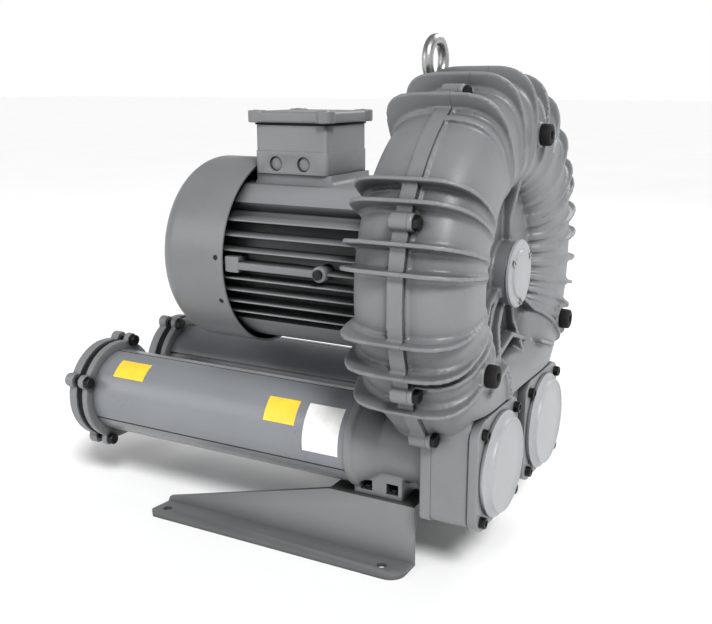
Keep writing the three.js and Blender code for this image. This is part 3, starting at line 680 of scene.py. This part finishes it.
def rear_housing():
    bm = bmesh.new()
    ring_shell(bm, -1)
    bar(bm, WEB_RADIUS, JOINT_X - 0.021, JOINT_X + OVERLAP, segments=128)
    tube(bm, NECK[1], NECK[2], NECK[0], JOINT_X - 0.020, segments=128)
    for side in (-1, 1):
        rear_port(bm, side)
    bar(bm, 0.016, 0.150 + AXIS_Z, EYE["seat"] - GAP, axis="z", x=EYE["x"], y=0.0, z=0.0)
    o = cast("rear_housing_casting", bm)
    carve_ring(o, -1)
    trim = bmesh.new()
    block(trim, 0.09, BLOCK["rear"] - 0.0005, -0.2, 0.2, 0.0, BRACKET["top"] + GAP)
    cut(o, trim)
    inside = bmesh.new()
    for side in (-1, 1):
        bar(inside, TUBE_RADIUS + GAP, 0.10, TUBE_ENDS[1] + GAP, y=side * PORT_Y, z=PORT_Z, segments=96)
    cut(o, inside)
    inside = bmesh.new()
    for side in (-1, 1):
        bar(inside, SOCKET["bore"], 0.11, BLOCK["rear"] + 0.005, y=side * PORT_Y, z=PORT_Z, segments=64)
    bar(inside, SEAL_BORE, 0.17, 0.23, segments=48)
    cut(o, inside)
    inside = bmesh.new()
    for side in (-1, 1):
        bar(inside, PORT_BORE, BLOCK["rear"] + 0.004, JOINT_X + 0.01, y=side * PORT_Y, z=PORT_Z, segments=64)
    bar(inside, NECK[1], 0.13, JOINT_X - 0.0211, segments=96)
    cut(o, inside)
    shoe_pockets(o)
    soften(o, 40)
    return finish_piece(o, M["casting"], ["blower_rear_housing"])


def shoe_pockets(o):
    """Pockets in the two shoes for the bracket screws' heads, open at the outer side."""
    pockets = bmesh.new()
    floor = BRACKET["top"] + GAP + 0.005
    for side in (-1, 1):
        for x in SHOE_BOLT_XS:
            y0, y1 = sorted((side * (SHOE["outer"] + 0.004), side * (SHOE_BOLT_Y - 0.007)))
            block(pockets, x - 0.007, x + 0.007, y0, y1, floor, floor + 0.012)
            y = side * SHOE_BOLT_Y
            bar(pockets, SHOE_BOLT_HOLE, 0.06, floor + 0.001, axis="z", x=x, y=y, z=0.0, segments=20)
    cut(o, pockets)


def port_flanges():
    """The squarish flange plates round the two front ports, with their corner screws."""
    f = PORT_FLANGE
    inner = f["half"] - f["corner"]
    for side, name in ((-1, "near"), (1, "far")):
        outline = []
        for sy, sz in ((1, -1), (1, 1), (-1, 1), (-1, -1)):
            start = {(1, -1): -90, (1, 1): 0, (-1, 1): 90, (-1, -1): 180}[(sy, sz)]
            outline += arc(side * PORT_Y + sy * inner, PORT_Z + sz * inner, f["corner"], start, start + 90, 8)
        bm = bmesh.new()
        prism(bm, outline, "x", f["x0"] - 0.0004, f["x1"])
        o = bevelled(link(f"{name}_port_flange", bm), 0.0012)
        finish_piece(o, M["casting"])
        for k, (sy, sz) in enumerate(((1, 1), (-1, 1), (-1, -1), (1, -1))):
            reach = f["half"] - 0.0125
            y, z = side * PORT_Y + sy * reach, PORT_Z + sz * reach
            bolt = socket_screw(f"{name}_port_screw_{k + 1}", f["x1"], y, z, 0.0058, 0.006)
            finish_piece(bolt, M["dark_bolt"])


def socket_screw(name, x, y, z, radius, height, way=1):
    """A cap screw whose head stands on a face that looks along +X, or along -X with way -1."""
    bm = bmesh.new()
    r, h = radius, height
    key = r * 0.55
    profile = [(-0.002, 0), (-0.002, r * 0.6), (0, r * 0.6), (0, r), (h - r * 0.12, r), (h, r * 0.86)]
    profile += [(h, key), (h - r * 0.7, key), (h - r * 0.7, 0)]
    turned(bm, [(way * a, b) for a, b in profile], 24, y, z, x)
    return link(name, bm)


def hex_bolt(name, x, y, z, across, head, shank, way=1):
    """A hexagon bolt: its head, on the side that way points to, and its shank (radius, length)."""
    bm = bmesh.new()
    r = across / 2 / math.cos(math.pi / 6)
    top = x + way * head
    outline = [polar_at(y, z, 30 + 60 * k, r) for k in range(6)]
    prism(bm, outline, "x", *sorted((x, top)))
    o = link(name, bm)
    crown = bmesh.new()
    below = x - way * 0.002
    shoulder = x + way * head * 0.55
    profile = [(below, 0), (below, r * 1.2), (shoulder, r * 1.2), (top, across / 2 * 0.93), (top, 0)]
    turned(crown, profile, 48, y, z)
    cut(o, crown, "INTERSECT")
    joined = bmesh.new()
    joined.from_mesh(o.data)
    bar(joined, shank[0], *sorted((x - way * shank[1], x + way * 0.0003)), y=y, z=z, segments=20)
    joined.to_mesh(o.data)
    joined.free()
    soften(o, 30)
    return o


def joint_bolts():
    face = JOINT_X + LUG_LENGTH[1] + GAP
    for i, angle in enumerate(bolt_angles()):
        y, z = at_angle(angle, LUG_CIRCLE)
        o = hex_bolt(f"ring_bolt_{i + 1}", face, y, z, **JOINT_BOLT)
        finish_piece(o, M["dark_bolt"], [f"joint_bolt_{i + 1}"])


def hub():
    bm = bmesh.new()
    x = HUB_FRONT
    r = HUB_RADIUS + 0.002
    profile = [(x + GAP, 0), (x + GAP, r - 0.001), (x + 0.001, r), (x + 0.0038, r), (x + 0.005, r - 0.0015)]
    profile += [(x + 0.0052, 0.026), (x + 0.0068, 0.0248), (x + 0.0072, 0.0235), (x + 0.0072, 0)]
    turned(bm, profile, 96)
    o = link("hub_cap", bm, 30)
    finish_piece(o, M["cover"], ["hub_cover"])
    for k in range(3):
        y, z = at_angle(30 + 120 * k, 0.0302)
        s = socket_screw(f"hub_screw_{k + 1}", x + 0.005, y, z, 0.0032, 0.0024)
        finish_piece(s, M["bolt"])


def port_covers():
    for side, name in ((-1, "inlet"), (1, "outlet")):
        x = PORT_FLANGE["x1"] + GAP
        r = COVER_RADIUS
        profile = [(x, 0), (x, r), (x + 0.0012, r + 0.0004), (x + 0.0038, r + 0.0004), (x + 0.005, r - 0.001)]
        profile += [(x + 0.0068, r - 0.0045), (x + 0.0105, r - 0.0062), (x + 0.0108, r - 0.0072)]
        profile += [(x + 0.0100, r - 0.0085), (x + 0.0092, r - 0.0100), (x + 0.0096, 0.030), (x + 0.0098, 0)]
        bm = bmesh.new()
        turned(bm, profile, 128, y=side * PORT_Y, z=PORT_Z)
        o = link(f"{name}_port_disc", bm, 40)
        finish_piece(o, M["cover"], [f"{name}_port_cover"])


def rubber_feet():
    for i, angle in enumerate(FOOT_ANGLES):
        y, z = at_angle(angle, FOOT_CIRCLE)
        a, b = FOOT_START, FRONT_END
        bm = bmesh.new()
        profile = [(a, 0), (a, 0.0108), (a + 0.0008, 0.0115), (b - 0.002, 0.0112), (b - 0.0006, 0.0106)]
        profile += [(b, 0.0095), (b, 0.0045), (b - 0.004, 0.0040), (b - 0.004, 0)]
        turned(bm, profile, 48, y=y, z=z)
        o = link(f"rubber_buffer_{i + 1}", bm, 50)
        finish_piece(o, M["rubber"], [f"rubber_foot_{i + 1}"])


def lifting_eye():
    bm = bmesh.new()
    x, c = EYE["x"], EYE["centre"]
    big, small = EYE["ring"], EYE["wire"]
    wire = arc(0, 0, small, 0, 360, 20)[:-1]
    turned(bm, [(u, big + v) for u, v in wire], 72, y=0.0, z=c, x=x)
    s = EYE["seat"]
    profile = [(s, 0), (s, 0.0132), (s + 0.0008, 0.014), (s + 0.0055, 0.014)]
    profile += [(s + 0.007, 0.0125), (s + 0.009, 0.0085), (s + 0.011, 0)]
    turned(bm, profile, 64, y=0.0, z=0.0, x=x, axis="z")
    bar(bm, 0.006, s - 0.018, s + 0.001, axis="z", x=x, y=0.0, z=0.0, segments=32)
    o = cast("eye_bolt", bm, 0.0009, 4)
    finish_piece(o, M["bolt"], ["lifting_eye"])


# ---- Silencers ----
def silencer_outline(side):
    """The extruded tube's outline, with its screw-channel grooves; the two tubes are mirror images."""
    outline = []
    half = 1.3
    for start, end in zip(GROOVE_ANGLES, (*GROOVE_ANGLES[1:], GROOVE_ANGLES[0] + 360)):
        outline += arc(0, 0, TUBE_RADIUS, start + half, end - half, 40)
        outline += arc(0, 0, TUBE_RADIUS - GROOVE, end - half + 0.3, end + half - 0.3, 1)
    return [(-side * u, v) for u, v in outline]


def silencer(name, side):
    y = side * PORT_Y
    outline = [(y + u, PORT_Z + v) for u, v in silencer_outline(side)]
    bm = bmesh.new()
    a, b = TUBE_ENDS
    outer_a = [bm.verts.new((a, u, v)) for u, v in outline]
    outer_b = [bm.verts.new((b, u, v)) for u, v in outline]
    n = len(outline)
    inner_a, inner_b = [], []
    for u, v in outline:
        d = Vector((u - y, v - PORT_Z)).normalized() * TUBE_BORE
        inner_a.append(bm.verts.new((a, y + d.x, PORT_Z + d.y)))
        inner_b.append(bm.verts.new((b, y + d.x, PORT_Z + d.y)))
    for i in range(n):
        j = (i + 1) % n
        bm.faces.new((outer_a[i], outer_a[j], outer_b[j], outer_b[i]))
        bm.faces.new((inner_a[i], inner_b[i], inner_b[j], inner_a[j]))
        bm.faces.new((outer_a[i], inner_a[i], inner_a[j], outer_a[j]))
        bm.faces.new((outer_b[i], outer_b[j], inner_b[j], inner_b[i]))
    o = link(f"{name}_tube_profile", bm, 30)
    finish_piece(o, M["silencer"], [f"{name}_silencer_tube"])
    end_cap(name, side)


def ears(side):
    """The centres of a cap's four ears."""
    out = []
    for angle in CAP_ANGLES:
        u, v = polar_at(0, PORT_Z, angle, CAP["circle"])
        out.append((side * (PORT_Y - u), v))
    return out


def cap_plate(name, side, ends, bore):
    """A round plate with an ear at each tie bolt."""
    bm = bmesh.new()
    y = side * PORT_Y
    bar(bm, CAP["radius"], *ends, y=y, z=PORT_Z, segments=128)
    for ey, ez in ears(side):
        bar(bm, CAP["ear"], *ends, y=ey, z=ez, segments=40)
    o = cast(name, bm, 0.0011)
    inner = bmesh.new()
    bar(inner, bore, ends[0] - 0.01, ends[1] + 0.01, y=y, z=PORT_Z, segments=96)
    cut(o, inner)
    soften(o, 40)
    return o


def end_cap(name, side):
    y = side * PORT_Y
    o = cap_plate(f"{name}_front_plate", side, TUBE_FLANGE, TUBE_BORE)
    finish_piece(o, M["casting"], [f"{name}_tube_flange"])
    a, b = END_GASKET
    r = CAP["radius"] - 0.003
    bm = bmesh.new()
    profile = [(a, 0.043), (a, r - 0.001), (a + 0.001, r), (b - 0.001, r), (b, r - 0.001), (b, 0.043)]
    turned(bm, profile, 128, y=y, z=PORT_Z)
    o = link(f"{name}_cap_seal", bm, 40)
    finish_piece(o, M["rubber"], [f"{name}_end_gasket"])
    o = cap_plate(f"{name}_rear_plate", side, END_FLANGE, THREAD_RADIUS)
    finish_piece(o, M["casting"], [f"{name}_end_flange"])
    x, r = REAR_END, CAP["boss"]
    root = END_FLANGE[0] + 0.0008
    profile = [(x, THREAD_RADIUS + 0.0008), (x, r - 0.0005), (x + 0.0005, r), (root, r + 0.0005)]
    profile += [(root, THREAD_RADIUS), (x + 0.0008, THREAD_RADIUS)]
    bm = bmesh.new()
    turned(bm, profile, 96, y=y, z=PORT_Z)
    o = link(f"{name}_port_boss", bm, 30)
    finish_piece(o, M["casting"])
    for k, (ey, ez) in enumerate(ears(side)):
        reach = TUBE_FLANGE[1] - END_FLANGE[0] + 0.002
        shank = (TIE_BOLT["radius"], reach)
        face = TUBE_FLANGE[1] + GAP
        o = hex_bolt(f"{name}_tie_bolt_{k + 1}", face, ey, ez, TIE_BOLT["across"], TIE_BOLT["head"], shank)
        finish_piece(o, M["dark_bolt"])


def labels():
    """Blank foil patches on the near tube; what they say is left off."""
    for k, patch in enumerate(PATCHES):
        low, high = patch["low"], patch["high"]
        bm = bmesh.new()
        outer, inner = [], []
        for j in range(25):
            a = math.radians(180 - (low + (high - low) * j / 24))
            for ring, r in ((outer, TUBE_RADIUS + 0.00035), (inner, TUBE_RADIUS + 0.00005)):
                ring.append((-PORT_Y + r * math.cos(a), PORT_Z + r * math.sin(a)))
        prism(bm, outer + inner[::-1], "x", patch["x0"], patch["x1"])
        o = link(f"blank_label_{k + 1}", bm, 30)
        finish_piece(o, M[patch["colour"]])


# ---- Brackets ----
def bracket(name, side):
    b = BRACKET
    bm = bmesh.new()
    t = b["thick"]
    y_web, y_in = -b["web"], -b["web"] + t
    web = [(b["x0"], 0.0), (b["x1"], 0.0), (b["x1"], b["top"]), (b["step"], b["top"])]
    web.append((b["x0"] + 0.004, 0.010))
    prism(bm, web, "y", y_web, y_in)
    o = link(name, bm)
    c = b["corner"]
    bm = bmesh.new()
    foot = [(b["x0"] + 0.004, y_web + 0.001), (b["x0"], -b["outer"] + 0.008), (b["x0"] + 0.008, -b["outer"])]
    foot += arc(b["x1"] - c, -b["outer"] + c, c, -90, 0, 8) + [(b["x1"], y_web + 0.001)]
    prism(bm, foot, "z", 0.0, t)
    cut(o, bm, "UNION")
    bm = bmesh.new()
    block(bm, b["step"], b["x1"], y_web + 0.001, -b["inner"], b["top"] - t, b["top"])
    cut(o, bm, "UNION")
    bm = bmesh.new()
    for x in ANCHOR_XS:
        bar(bm, ANCHOR_RADIUS, -0.01, t + 0.01, axis="z", x=x, y=-ANCHOR_Y, z=0.0, segments=40)
    for x in SHOE_BOLT_XS:
        low, high = b["top"] - t - 0.01, b["top"] + 0.01
        bar(bm, SHOE_BOLT_HOLE, low, high, axis="z", x=x, y=-SHOE_BOLT_Y, z=0.0, segments=24)
    cut(o, bm)
    bevelled(o, 0.0011, 3, 50)
    if side > 0:
        o.data.transform(FAR)
        o.data.flip_normals()
        soften(o, 50)
    return finish_piece(o, M["bracket"], [name])


# ---- Motor ----
def core_y(h):
    return math.sqrt(FRAME_CORE**2 - h**2)


def tip_y(h):
    return math.sqrt(FRAME_TIP**2 - h**2)


def motor_frame():
    """The cast frame with its parallel side fins, and the pad that carries the terminal box."""
    side = [(0.050, 0.085), (0.058, 0.084), (0.074, 0.066)]
    side += [(core_y(0.0575) + 0.004, 0.0575), (core_y(0.0565), 0.0560)]
    for h in FIN_HEIGHTS:
        top, bottom = h + 0.0021, h - 0.0021
        side.append((core_y(top), top + 0.0008))
        side.append((tip_y(h) - 0.0016, h + 0.0014))
        side += [(tip_y(h) - 0.0004, h + 0.0007), (tip_y(h) - 0.0004, h - 0.0007)]
        side.append((tip_y(h) - 0.0016, h - 0.0014))
        side.append((core_y(bottom), bottom - 0.0008))
    side += [(core_y(-0.0605), -0.0605), (0.080, -0.0650)]
    side += arc(0, 0, 0.1015, -41, -90, 10)
    outline = side + [(-y, z) for y, z in reversed(side[:-1])]
    outline = [(y, AXIS_Z + z) for y, z in outline]
    bm = bmesh.new()
    prism(bm, outline, "x", *FRAME_X)
    o = link("motor_frame_casting", bm, 30)
    pad = bmesh.new()
    pedestal(pad)
    cut(o, pad, "UNION")
    lugs = bmesh.new()
    rim = COWL["rim"] + 0.001
    soft_block(lugs, rim, rim + 0.018, -0.107, -0.082, AXIS_Z - 0.008, AXIS_Z + 0.010, 0.002)
    soft_block(lugs, rim, EARTH_X, -0.1065, -0.082, AXIS_Z - 0.0042, AXIS_Z + 0.0042, 0.0015)
    cut(o, lugs, "UNION")
    boss = bmesh.new()
    bar(boss, 0.0085, -0.1068, -0.080, axis="y", x=EARTH_X, y=0.0, segments=40, edge=0.001)
    cut(o, boss, "UNION")
    bore = bmesh.new()
    bar(bore, FRAME_BORE, -0.2, 0.2, segments=96)
    cut(o, bore)
    bevelled(o, 0.0006, 2, 50)
    return finish_piece(o, M["motor"], ["stator_frame"])


def pedestal(bm):
    """The raised base under the terminal box, wider at its foot."""
    low, high = AXIS_Z + 0.062, BOX["floor"] - GAP
    foot = [(-0.044, 0.060), (0.085, 0.060)]
    head = [(BOX["x0"] + 0.001, 0.044), (BOX["x1"] + 0.004, 0.044)]
    verts = []
    for z, ends in ((low, foot), (high - 0.006, head), (high, head)):
        (x0, y), (x1, _) = ends
        verts.append([bm.verts.new(p) for p in ((x0, -y, z), (x1, -y, z), (x1, y, z), (x0, y, z))])
    bm.faces.new(verts[0])
    bm.faces.new(verts[-1])
    for a, b in zip(verts, verts[1:]):
        for i in range(4):
            j = (i + 1) % 4
            bm.faces.new((a[i], a[j], b[j], b[i]))


def fan_cowl():
    c = COWL
    outer = arc(c["rear"] + c["corner"], c["radius"] - c["corner"], c["corner"], 90, 180, 16)
    w = c["wall"]
    inner = arc(c["rear"] + c["corner"], c["radius"] - c["corner"], c["corner"] - w, 180, 90, 16)
    profile = [(c["rim"] - 0.0004, c["radius"]), *outer, (c["rear"], 0), (c["rear"] + w, 0), *inner]
    profile += [(c["rim"] - 0.0004, c["radius"] - w), (c["rim"], c["radius"] - w * 0.5)]
    bm = bmesh.new()
    turned(bm, profile, 160)
    o = link("fan_cowl_shell", bm, 30)
    holes = bmesh.new()
    for row, (radius, count) in enumerate(INTAKE_ROWS):
        for k in range(count):
            y, z = at_angle(360 * (k + 0.5 * (row % 2)) / count, radius)
            bar(holes, INTAKE_HOLE, c["rear"] - 0.01, c["rear"] + 0.008, y=y, z=z, segments=12)
    cut(o, holes)
    soften(o, 35)
    finish_piece(o, M["cowl"], ["fan_cowl"])
    for k, angle in enumerate(COWL_SCREW_ANGLES):
        s = radial_screw(f"cowl_screw_{k + 1}", COWL["rim"] - 0.009, angle, COWL["radius"])
        finish_piece(s, M["dark_bolt"])


def radial_screw(name, x, angle, radius):
    """A small round-headed screw on a round surface, sunk so that its head barely stands out."""
    bm = bmesh.new()
    r = 0.0034
    bar(bm, r, -0.004, -0.0004, axis="z", x=0.0, y=0.0, z=0.0, segments=20, edge=0.0006)
    turn = Matrix.Translation((x, 0, AXIS_Z)) @ Matrix.Rotation(math.radians(angle - 90), 4, "X")
    bmesh.ops.transform(bm, matrix=turn @ Matrix.Translation((0, 0, radius + 0.0006)), verts=bm.verts)
    return link(name, bm)


def terminal_box():
    b = BOX
    bm = bmesh.new()
    prism(bm, box_outline(0, 0.006), "z", b["floor"], b["top"])
    o = link("terminal_box_body", bm, 30)
    lip = bmesh.new()
    z = PLUG_Z + 0.0125
    prism(lip, box_outline(-0.0008, 0.0055), "z", z + 0.0012, b["top"] + 0.01)
    shell = bmesh.new()
    prism(shell, box_outline(0.01, 0.006), "z", z + 0.0012, b["top"] + 0.01)
    ring = link("ring", shell)
    cut(ring, lip)
    cut_by(o, ring)
    inside = bmesh.new()
    w = 0.005
    prism(inside, box_outline(-w, 0.003), "z", b["floor"] + w, b["top"] + 0.01)
    for x in PLUG_XS:
        face = -b["half"]
        bar(inside, 0.0083, face - 0.01, face + 0.004, axis="y", x=x, y=0.0, z=PLUG_Z, segments=48)
    cut(o, inside)
    bevelled(o, 0.0007, 2, 50)
    finish_piece(o, M["motor"], ["terminal_box"])
    terminal_lid()
    for i, x in enumerate(PLUG_XS):
        bm = bmesh.new()
        face = -b["half"] + 0.0024
        profile = [(face, 0), (face, 0.0016), (face, 0.0060), (face + 0.0006, 0.0076)]
        profile += [(face + 0.0013, 0.0079), (face + 0.0013, 0)]
        turned(bm, profile, 40, x=x, y=0.0, z=PLUG_Z, axis="y")
        p = link(f"blanking_plug_{i + 1}", bm, 40)
        finish_piece(p, M["motor"], [f"cable_entry_plug_{i + 1}"])


def rounded_rect(u0, u1, v0, v1, r, steps=6):
    out = arc(u1 - r, v0 + r, r, -90, 0, steps) + arc(u1 - r, v1 - r, r, 0, 90, steps)
    return out + arc(u0 + r, v1 - r, r, 90, 180, steps) + arc(u0 + r, v0 + r, r, 180, 270, steps)


def box_outline(grow, corner):
    """The terminal box's outline, made larger or smaller all round."""
    half = BOX["half"] + grow
    return rounded_rect(BOX["x0"] - grow, BOX["x1"] + grow, -half, half, corner)


def terminal_lid():
    """A shallow lid with a lobe for a screw at each corner."""
    b, l = BOX, LID
    reach = b["half"] + l["over"]
    x0, x1 = b["x0"] - l["over"], b["x1"] + l["over"]
    bm = bmesh.new()
    inset = 0.0035
    half, top = reach - inset, l["top"] - 0.0015
    soft_block(bm, x0 + inset, x1 - inset, -half, half, l["bottom"], top, 0.003)
    lobe_in = l["lobe_in"]
    lobes = [(x, y) for x in (x0 + lobe_in, x1 - lobe_in) for y in (-reach + lobe_in, reach - lobe_in)]
    for x, y in lobes:
        bar(bm, l["lobe"], l["bottom"], l["top"] - 0.0006, axis="z", x=x, y=y, z=0.0, segments=40)
    o = cast("terminal_lid_casting", bm, 0.0010, 4)
    trim = bmesh.new()
    block(trim, -0.2, 0.2, -0.2, 0.2, l["bottom"] - 0.02, l["bottom"] + 0.0002)
    cut(o, trim)
    soften(o, 60)
    finish_piece(o, M["motor"], ["terminal_box_lid"])
    for k, (x, y) in enumerate(lobes):
        bm = bmesh.new()
        z = l["top"] - 0.0018
        bar(bm, 0.0042, z - 0.002, z + 0.0017, axis="z", x=x, y=y, z=0.0, segments=24, edge=0.0006)
        s = link(f"lid_screw_{k + 1}", bm)
        finish_piece(s, M["bolt"])


def small_screws():
    bm = bmesh.new()
    profile = [(-0.1109, 0), (-0.1109, 0.0035), (-0.1101, 0.0055), (-0.1075, 0.0055), (-0.1075, 0)]
    turned(bm, profile, 24, x=EARTH_X, y=0.0, axis="y")
    o = link("earth_terminal", bm)
    finish_piece(o, M["dark_bolt"], ["earth_screw"])
    for side, name in ((-1, "near"), (1, "far")):
        for i, x in enumerate(SHOE_BOLT_XS):
            lo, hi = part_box(f"{name}_bracket_bolt_{i + 1}")
            head = SHOE_BOLT["head"]
            shank = (SHOE_BOLT["radius"], hi.z - lo.z - head)
            o = hex_bolt(f"{name}_shoe_bolt_{i + 1}", 0, 0, 0, SHOE_BOLT["across"], head - 0.0001, shank)
            upright = Matrix.Rotation(-math.pi / 2, 4, "Y")
            o.data.transform(Matrix.Translation((x, side * SHOE_BOLT_Y, hi.z - head)) @ upright)
            finish_piece(o, M["dark_bolt"], [f"{name}_bracket_bolt_{i + 1}"])


# ---- CAD solids that stay: hidden inside the machine ----
def dress_inner_nodes():
    looks = {
        "motor_shaft": "shaft",
        "rotor_core": "laminate",
        "stator_core": "laminate",
        "cooling_fan": "plastic",
        "impeller": "aluminium",
        "impeller_bolt": "bolt",
        "winding_rear": "copper",
        "winding_front": "copper",
        "rear_end_shield": "motor",
        "front_end_shield": "motor",
        "terminal_board": "plastic",
        "terminal_box_gasket": "rubber",
        "shaft_seal": "rubber",
        "inlet_silencer_liner": "foam",
        "outlet_silencer_liner": "foam",
    }
    for place in ("front", "rear"):
        for part in ("outer_ring", "inner_ring", "balls"):
            looks[f"{place}_bearing_{part}"] = "bearing"
    for node, look in looks.items():
        o = frame["nodes"][node]
        o.data.materials.clear()
        o.data.materials.append(M[look])


# ---- Stage ----
def stage():
    bm = bmesh.new()
    bmesh.ops.create_grid(bm, x_segments=2, y_segments=2, size=30)
    floor = link("floor", bm)
    n = Nodes("pale_floor")
    tone = n.mix(n.span(n.noise(2, 3), 0.3, 0.7, 0, 1), grey(0.93), grey(0.95))
    floor.data.materials.append(n.end(Base_Color=tone, Roughness=0.8))
    world = bpy.data.worlds.new("studio")
    world.use_nodes = True
    tree = world.node_tree
    place = tree.nodes.new("ShaderNodeTexCoord")
    height = tree.nodes.new("ShaderNodeSeparateXYZ")
    ramp = tree.nodes.new("ShaderNodeMapRange")
    for key, value in {"From Min": 0.08, "From Max": 0.45, "To Min": 1.0, "To Max": 0.28}.items():
        ramp.inputs[key].default_value = value
    tree.links.new(place.outputs["Generated"], height.inputs["Vector"])
    tree.links.new(height.outputs["Z"], ramp.inputs["Value"])
    tree.links.new(ramp.outputs["Result"], tree.nodes["Background"].inputs["Strength"])
    tree.nodes["Background"].inputs["Color"].default_value = (1.0, 1.0, 1.0, 1)
    scene.world = world
    sun("key", (1.35, -1.45, 1.85), 16, 3.3)
    area("fill", (-1.5, -1.7, 1.1), (0.0, 0, 0.25), 1.2, 9)
    area("rim", (0.6, 1.8, 1.8), (0.1, 0, 0.3), 1.2, 22)
    scene.view_settings.view_transform = "Standard"
    scene.view_settings.look = "None"


def area(name, place, target, size, power):
    light = bpy.data.lights.new(name, "AREA")
    light.shape = "DISK"
    light.size = size
    light.energy = power
    o = bpy.data.objects.new(name, light)
    o.location = place
    o.rotation_euler = (Vector(target) - Vector(place)).to_track_quat("-Z", "Y").to_euler()
    scene.collection.objects.link(o)


def sun(name, towards, spread, strength):
    """A far, soft light that brightens the whole floor evenly."""
    light = bpy.data.lights.new(name, "SUN")
    light.angle = math.radians(spread)
    light.energy = strength
    o = bpy.data.objects.new(name, light)
    o.rotation_euler = (-Vector(towards)).to_track_quat("-Z", "Y").to_euler()
    scene.collection.objects.link(o)


def camera():
    data = bpy.data.cameras.new("camera")
    data.sensor_width = 36
    data.lens = CAMERA["lens"]
    o = bpy.data.objects.new("camera", data)
    o.location = CAMERA["place"]
    o.rotation_euler = (math.radians(CAMERA["tilt"]), 0, math.radians(CAMERA["turn"]))
    scene.collection.objects.link(o)
    scene.camera = o


front_cover()
rear_housing()
port_flanges()
joint_bolts()
hub()
port_covers()
rubber_feet()
lifting_eye()
silencer("inlet", -1)
silencer("outlet", 1)
labels()
bracket("near_bracket", -1)
bracket("far_bracket", 1)
motor_frame()
fan_cowl()
terminal_box()
small_screws()
dress_inner_nodes()
stage()
camera()
